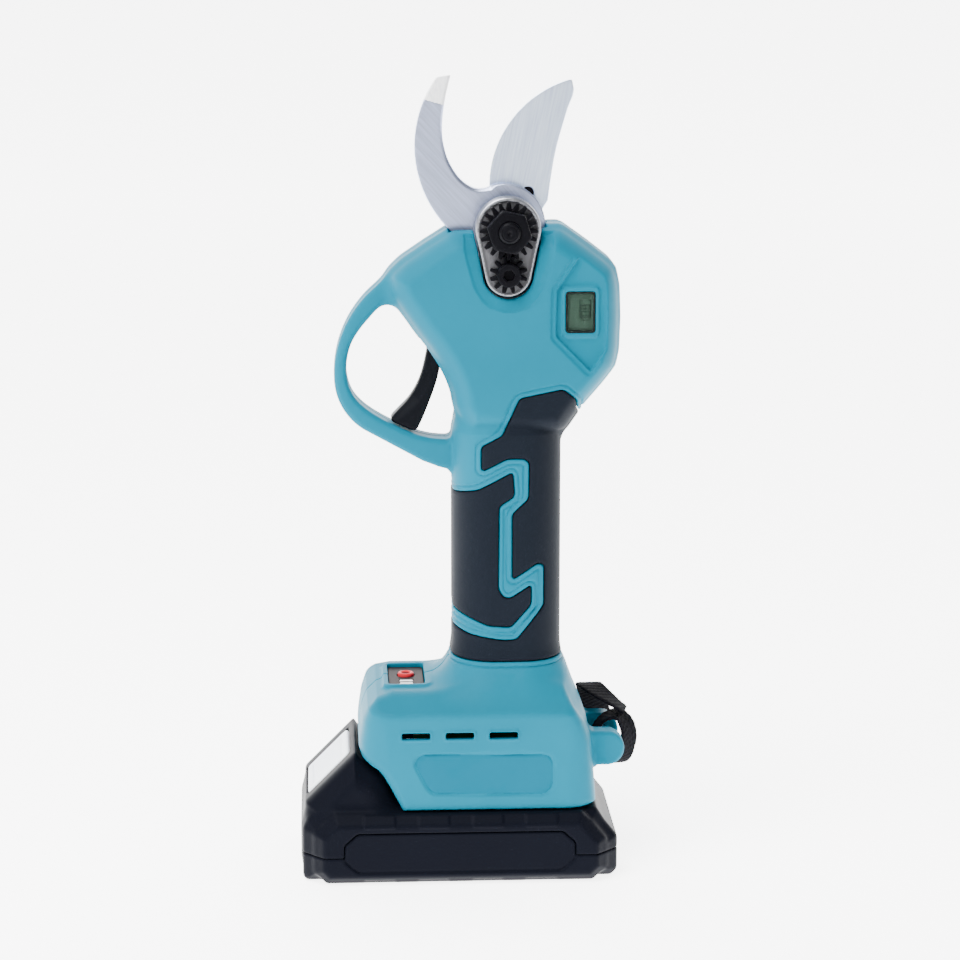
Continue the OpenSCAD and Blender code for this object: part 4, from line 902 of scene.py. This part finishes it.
def build_battery():
    g = Grid((-79, -0.8, -0.8), (42, BAT_Y + 0.9, FOOT_Z + 22), (STEP, STEP, STEP))
    f, hexagon_d = battery_field(g.x, g.t, g.z)
    below = np.minimum(g.z - SEAM_Z, np.maximum(hexagon_d, 33.8 - g.t))
    parts = {"battery_case_bottom": smax(f, below + 0.06, 0.5), "battery_case_top": smax(f, 0.06 - below, 0.5)}
    for name, field in parts.items():
        points, quads = surface(g, field)
        for far in (False, True):
            ob = skin(name + ("_far" if far else "_near"), points, quads, M["battery"], mirror=far)
            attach(ob, "battery")
            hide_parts(name)


def build_latch():
    """The white latch button on the slope, with its arm and hook."""
    low, high = box_mm("latch_button")

    def field(x, y, z):
        t = np.abs(y)
        along, out = on_slope(x, z)
        plate = extruded(box_distance(along, t, 12.4, 0, 10.8, 16, 1.8), np.abs(out + 1.2), 1.4, 0.6)
        groove = np.maximum(np.abs(np.abs(along - 12.4) - 7.6) - 0.4, t - 12)
        plate = smax(plate, -np.maximum(groove, -out - 0.2), 0.3)
        arm = np.maximum(np.maximum(t - 8, slab(x, low[0] + 9, -52)), slab(z, BODY_TOP + 3.8, BODY_TOP + 6.4))
        tail = np.maximum(np.maximum(t - 5, slab(x, -53, high[0])), slab(z, BODY_TOP + 3.8, BODY_TOP + 6.4))
        hook = np.maximum(t - 5, polygon_distance(x, z, [(high[0] - 4, BODY_TOP + 4), (high[0], BODY_TOP + 4),
                                                         (high[0], high[2]), (high[0] - 2, high[2]),
                                                         (high[0] - 4, high[2] - 2.4)]))
        return np.minimum(plate, np.minimum(arm, np.minimum(tail, hook)))
    solid("latch_plate", *grown(low, high),
          (STEP * 0.8,) * 3, field, M["white"], "latch", "latch_white", "latch_button")


build_battery()
build_latch()

# ---------------------------------------------------------------- display, button panel, strap


def block_mesh(name, boxes, mat, body):
    """One mesh of plain boxes, each given by its two corners in mm."""
    bm = bmesh.new()
    for low, high in boxes:
        made_box = bmesh.ops.create_cube(bm, size=1)
        for v in made_box["verts"]:
            v.co = Vector([(low[i] + (v.co[i] + 0.5) * (high[i] - low[i])) * MM for i in range(3)])
    mesh = bpy.data.meshes.new(name)
    bm.to_mesh(mesh)
    bm.free()
    mesh.materials.append(mat)
    ob = add_object(name, mesh)
    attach(ob, body)
    return ob


def digit_boxes(x, z, digit, y):
    """Seven-segment digit on its side: it reads from the tool's right."""
    w, h, s = 1.5, 3.0, 0.26
    segments = {"a": (0, h, w, h), "b": (w, h / 2, w, h), "c": (w, 0, w, h / 2), "d": (0, 0, w, 0),
                "e": (0, 0, 0, h / 2), "f": (0, h / 2, 0, h), "g": (0, h / 2, w, h / 2)}
    chosen = {"8": "abcdefg", "0": "abcdef"}[digit]
    boxes = []
    for key in chosen:
        x0, y0, x1, y1 = segments[key]
        # turned a quarter turn: the digit's up is the tool's left
        a = (x - y1 - s / 2, y, z + x0 - s / 2)
        b = (x - y0 + s / 2, y + 0.05, z + x1 + s / 2)
        boxes.append((a, b))
    return boxes


def build_display():
    x, z = LCD[0], PIVOT_Z + LCD[1]
    y = box_mm("display_panel")[0][1]

    # A black ring just inside the window's edge: painted shadow of the display's recess.
    def shadow_ring(u, depth, v):
        outer = box_distance(u, v, x, z, 5.9, 8.1, 1.4)
        inner = box_distance(u, v, x, z, 4.7, 6.8, 0.5)
        return smax(smax(outer, -inner, 0.3), slab(depth, y - 1, y), 0.2)
    solid("display_ring_painted_shadow", (x - 7, y - 1.6, z - 9), (x + 7, y + 0.6, z + 9), (0.25, 0.2, 0.25), shadow_ring,
          M["shadow_ring"], "tool", "black_plastic")
    s = 0.24
    face = y - 0.06
    left, right, top, bottom = x - 0.35, x + 3.9, z + 4.4, z - 2.25
    icon = [((left, face, bottom), (left + s, y, top)), ((right - s, face, bottom), (right, y, top)),
            ((left, face, bottom), (right, y, bottom + s)), ((left, face, top - s), (left + 1.2, y, top)),
            ((right - 1.2, face, top - s), (right, y, top)),
            ((left + 0.8, face, bottom - 1), (right - 0.8, y, bottom - 1 + s)),
            ((left + 0.8, face, bottom - 1), (left + 0.8 + s, y, bottom)),
            ((right - 0.8 - s, face, bottom - 1), (right - 0.8, y, bottom))]
    digits = digit_boxes(x + 3.4, z + 1.05, "8", face) + digit_boxes(x + 3.4, z - 1.45, "0", face)
    block_mesh("display_segments", icon + digits, M["segments"], "tool")


BUTTON_HOLE = 3.4
LIGHT_Y = (span("button_lights")[1] - 0.8, span("button_lights")[0] + 0.8)


def build_panel():
    low, high = box_mm("button_panel")
    bx, by = centre("power_button", 0), centre("power_button", 1)
    lights = box_mm("button_lights")
    top = high[2]

    def plate(x, y, z):
        d = box_distance(x, y, PANEL_X, PANEL_Y, 6.75, 13.95, 1.6)
        f = rounded_slab(d, z, low[2], top, 0.3)
        f = np.maximum(f, BUTTON_HOLE - np.hypot(x - bx, y - by))
        for ly in LIGHT_Y:
            f = np.maximum(f, -box_distance(x, y, PANEL_X, ly, 2.55, 0.85, 0.2))
        return f
    solid("button_panel_film", *grown(low, high),
          (0.3, 0.3, 0.3), plate, M["panel"], "tool", "panel_grey", "button_panel")

    def button(x, y, z):
        r = np.hypot(x - bx, y - by)
        disc = smax(r - 3.1, slab(z, box_mm("power_button")[0][2], top + 0.5), 0.5)
        ring = np.hypot(r - 2.35, z - top - 0.5) - 0.68
        return smin(disc, ring, 0.3)
    low, high = box_mm("power_button")
    knob = solid("power_button_ring", *grown(low, high),
                 (0.15, 0.15, 0.15), button, M["red"], "power_button", "button_red", "power_button")
    paint(knob, M["panel"], lambda x, y, z: (np.hypot(x - bx, y - by) < 1.6) & (z > top - 1))

    def bars(x, y, z):
        d = np.minimum(box_distance(x, y, PANEL_X, LIGHT_Y[0], 2.5, 0.8, 0.3),
                       box_distance(x, y, PANEL_X, LIGHT_Y[1], 2.5, 0.8, 0.3))
        return smax(d, slab(z, lights[0][2], top + 0.1), 0.2)
    low, high = lights
    solid("button_light_bars", *grown(low, high),
          (0.2, 0.2, 0.2), bars, M["light"], "tool", "light_white", "button_lights")


# The webbing's middle line and its width's direction, as in the CAD part.
STRAP = [((41.5, 0, 42), (0, 1, 0)), ((37.6, 0, 42.1), (0, 1, 0)), ((34.4, 0, 44.6), (0, 1, 0)),
         ((34.6, 0, 49), (0, 1, 0)), ((38.5, 0, 53.8), (0, 1, 0)), ((43.6, 0, 54.8), (0.2, 1, 0.2)),
         ((47, -0.5, 50.8), (0.55, 0.9, 0.3)), ((47.8, -0.5, 45.2), (0.75, 0.8, 0)),
         ((46.2, 0.5, 39.5), (0.8, 0.7, -0.2)), ((43.8, 5, 34.8), (1, 0.3, 0)), ((42, 14, 32.2), (1, 0.1, 0)),
         ((40, 28, 31.5), (0.9, 0.4, 0)), ((34, 39, 30), (0.8, 0.6, 0)), ((26, 47, 20), (0.5, 0.8, 0)),
         ((10, 50, 7), (0.1, 1, 0)), ((-6, 53, 1.8), (0.2, 1, 0)), ((-24, 58, 1.2), (0.3, 1, 0)),
         ((-42, 64, 1.2), (0.5, 1, 0)), ((-53, 73, 1.2), (1, 0.4, 0)), ((-49, 83, 1.2), (0.4, -0.9, 0)),
         ((-34, 85, 1.2), (-0.1, -1, 0)), ((-14, 79, 1.2), (-0.3, -1, 0)), ((8, 71, 1.8), (-0.3, -1, 0)),
         ((26, 63, 6), (-0.4, -1, 0)), ((37, 56, 16), (-0.7, -0.7, 0)), ((43, 47, 30), (-1, -0.3, 0)),
         ((40, 38, 43), (-1, 0, 0)), ((36.5, 30, 53), (-1, 0, 0)), ((34.3, 22, 60), (-1, 0, 0)),
         ((33.5, 13, 63.5), (-1, -0.1, 0)), ((36.5, 6, 62.5), (-0.8, -0.6, 0)),
         ((41.5, 1.5, 59.8), (-0.4, -1, 0)), ((46.4, 0, 56.4), (-0.2, -1, 0))]
STRAP_W = 10.0
STRAP_T = 1.5


def build_strap():
    """Webbing with its weave as real relief: rows of short floats that step from one row to the next."""
    path = np.array(smooth_curve([p for p, _ in STRAP], 24, closed=False))
    side = np.array(smooth_curve([q for _, q in STRAP], 24, closed=False))
    run = np.concatenate([[0], np.cumsum(np.linalg.norm(np.diff(path, axis=0), axis=1))])
    spacing = 0.4
    u = np.arange(0, run[-1], spacing)
    centre_line = np.stack([np.interp(u, run, path[:, i]) for i in range(3)], 1)
    across = np.stack([np.interp(u, run, side[:, i]) for i in range(3)], 1)
    way = np.gradient(centre_line, axis=0)
    way /= np.linalg.norm(way, axis=1)[:, None]
    across -= (across * way).sum(1)[:, None] * way
    across /= np.linalg.norm(across, axis=1)[:, None]
    up = np.cross(way, across)
    n = 26
    v = np.linspace(-1, 1, n)
    half_t = STRAP_T / 2 * np.sqrt(np.clip(1 - np.abs(v) ** 10, 0.05, 1))
    ring_v = np.concatenate([v, v[::-1]])
    ring_h = np.concatenate([half_t, -half_t[::-1]])
    row = np.floor((ring_v + 1) * 3.999)
    ridge = np.abs(np.sin(np.pi * (ring_v + 1) * 4))
    relief = 0.17 * (0.35 + 0.65 * np.cos(2 * np.pi * (u[:, None] / 2.3 + row[None, :] * 0.25))) * ridge[None, :]
    height = ring_h[None, :] + np.sign(ring_h)[None, :] * (relief - 0.12)
    points = centre_line[:, None, :] + across[:, None, :] * (ring_v * STRAP_W / 2)[None, :, None] \
        + up[:, None, :] * height[:, :, None]
    m, k = len(u), 2 * n
    index = np.arange(m * k).reshape(m, k)
    a, b = index[:-1], index[1:]
    quads = np.stack([a, np.roll(a, -1, 1), np.roll(b, -1, 1), b], -1).reshape(-1, 4)
    ends = [[e[i], e[i + 1], e[k - 2 - i], e[k - 1 - i]] for e in (index[0], index[-1]) for i in range(n - 1)]
    half = len(ends) // 2
    ends = [q[::-1] for q in ends[:half]] + ends[half:]
    ob = skin("wrist_strap_webbing", points.reshape(-1, 3), np.concatenate([quads, np.array(ends)]),
              M["webbing"], mirror=True)
    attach(ob, "tool")
    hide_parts("wrist_strap")


def webbing_material():
    m = moulded("webbing", (0.0025, 0.0025, 0.0035), 0.7, 2600, 0.00012, 0.8, 0.03)
    threads = noise(m, 1500, 1, (1, 1, 2.2))
    add_tint(m, threads, "Fac", 0.5, 2.6, 1.6)
    return m


M["webbing"] = webbing_material()
build_display()
build_panel()
build_strap()

# ---------------------------------------------------------------- materials of the pieces kept from CAD

KEPT = {
    "steel": ["planet_carrier", "ring_gear", "sun_gear", "output_bearings", "motor_bearings", "gear_sector",
              "drive_pinion", "rotor", "trigger_pin", "trigger_spring", "trigger_magnet", "strap_pin",
              "latch_springs"],
    "zinc": ["housing_screws", "battery_screws"],
    "oxide": ["sector_screws"],
    "bronze": ["planet_gear_1", "planet_gear_2", "planet_gear_3"],
    "black": ["motor_can", "motor_end_cap", "terminal_block"],
    "copper": ["stator"],
    "board": ["trigger_board", "display_board", "button_board", "controller_board", "battery_board"],
    "glass": ["display_window"], "lcd": ["display_panel"], "leads": ["motor_leads"],
    "cells": ["battery_cells"], "holder": ["cell_holder"], "nickel": ["cell_straps"],
    "brass": ["battery_terminals"],
}
for key, names in KEPT.items():
    for name in names:
        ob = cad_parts[name]
        for s in ob.material_slots:
            s.material = M[key]

# ---------------------------------------------------------------- camera, light, floor

CAMERA = (-68.5, -1123.3, 386.8)
TARGET = (-9.6, 0, 147.7)
LENS = 114.07
# strength of the floor's glow in front of the tool and behind it
FLOOR_GLOW = (0.6, 5.0)
WORLD = 0.25
# place in metres, width and height, power in watts
LIGHTS = {
    "front": ((-0.3, -1.9, 1.0), (1.8, 1.5), 5),
    "top": ((-0.4, -0.4, 1.3), (0.7, 0.7), 38),
    "left": ((-1.0, -0.8, 0.95), (0.5, 0.6), 16),
}


def place_camera():
    data = bpy.data.cameras.new("camera")
    data.lens = LENS
    data.sensor_width = 36
    ob = add_object("camera", data)
    ob.location = Vector(CAMERA) * MM
    ob.rotation_euler = (Vector(TARGET) - Vector(CAMERA)).to_track_quat("-Z", "Y").to_euler()
    bpy.context.scene.camera = ob


def area_light(name, place, size, power, target=(0, 0, 0.14)):
    data = bpy.data.lights.new(name, "AREA")
    data.shape = "RECTANGLE"
    data.size, data.size_y = size
    data.energy = power
    ob = add_object(name, data)
    ob.location = place
    ob.rotation_euler = (Vector(target) - Vector(place)).to_track_quat("-Z", "Y").to_euler()


def build_stage():
    """A pale floor that sweeps up behind the tool, and soft boxes round it."""
    profile = [(-6, 0)] + [(2.2 + 1.5 * math.sin(a), 1.5 - 1.5 * math.cos(a))
                           for a in (math.radians(9 * i) for i in range(11))] + [(3.7, 6)]
    mesh = bpy.data.meshes.new("floor")
    points = [(x, y, z) for y, z in profile for x in (-7, 7)]
    faces = [(2 * i, 2 * i + 1, 2 * i + 3, 2 * i + 2) for i in range(len(profile) - 1)]
    mesh.from_pydata(points, [], faces)
    for p in mesh.polygons:
        p.use_smooth = True
    white = material("floor_white", (0.9, 0.9, 0.9), 0.95)
    shader = white.node_tree.nodes["Principled BSDF"]
    shader.inputs["Emission Color"].default_value = (1, 1, 1, 1)
    parts = node(white, "ShaderNodeSeparateXYZ")
    glow = node(white, "ShaderNodeMapRange", interpolation_type="SMOOTHSTEP")
    for key, value in zip(("From Min", "From Max", "To Min", "To Max"), (-0.4, -0.12, *FLOOR_GLOW)):
        glow.inputs[key].default_value = value
    link(white, object_space(white), "Vector", parts, "Vector")
    link(white, parts, "Y", glow, "Value")
    link(white, glow, "Result", shader, "Emission Strength")
    mesh.materials.append(white)
    floor = add_object("floor", mesh)
    world = bpy.data.worlds.new("studio")
    world.use_nodes = True
    world.node_tree.nodes["Background"].inputs["Color"].default_value = (1, 1, 1, 1)
    world.node_tree.nodes["Background"].inputs["Strength"].default_value = WORLD
    bpy.context.scene.world = world
    for name, (place, size, power) in LIGHTS.items():
        area_light(name, place, size, power)


place_camera()
build_stage()
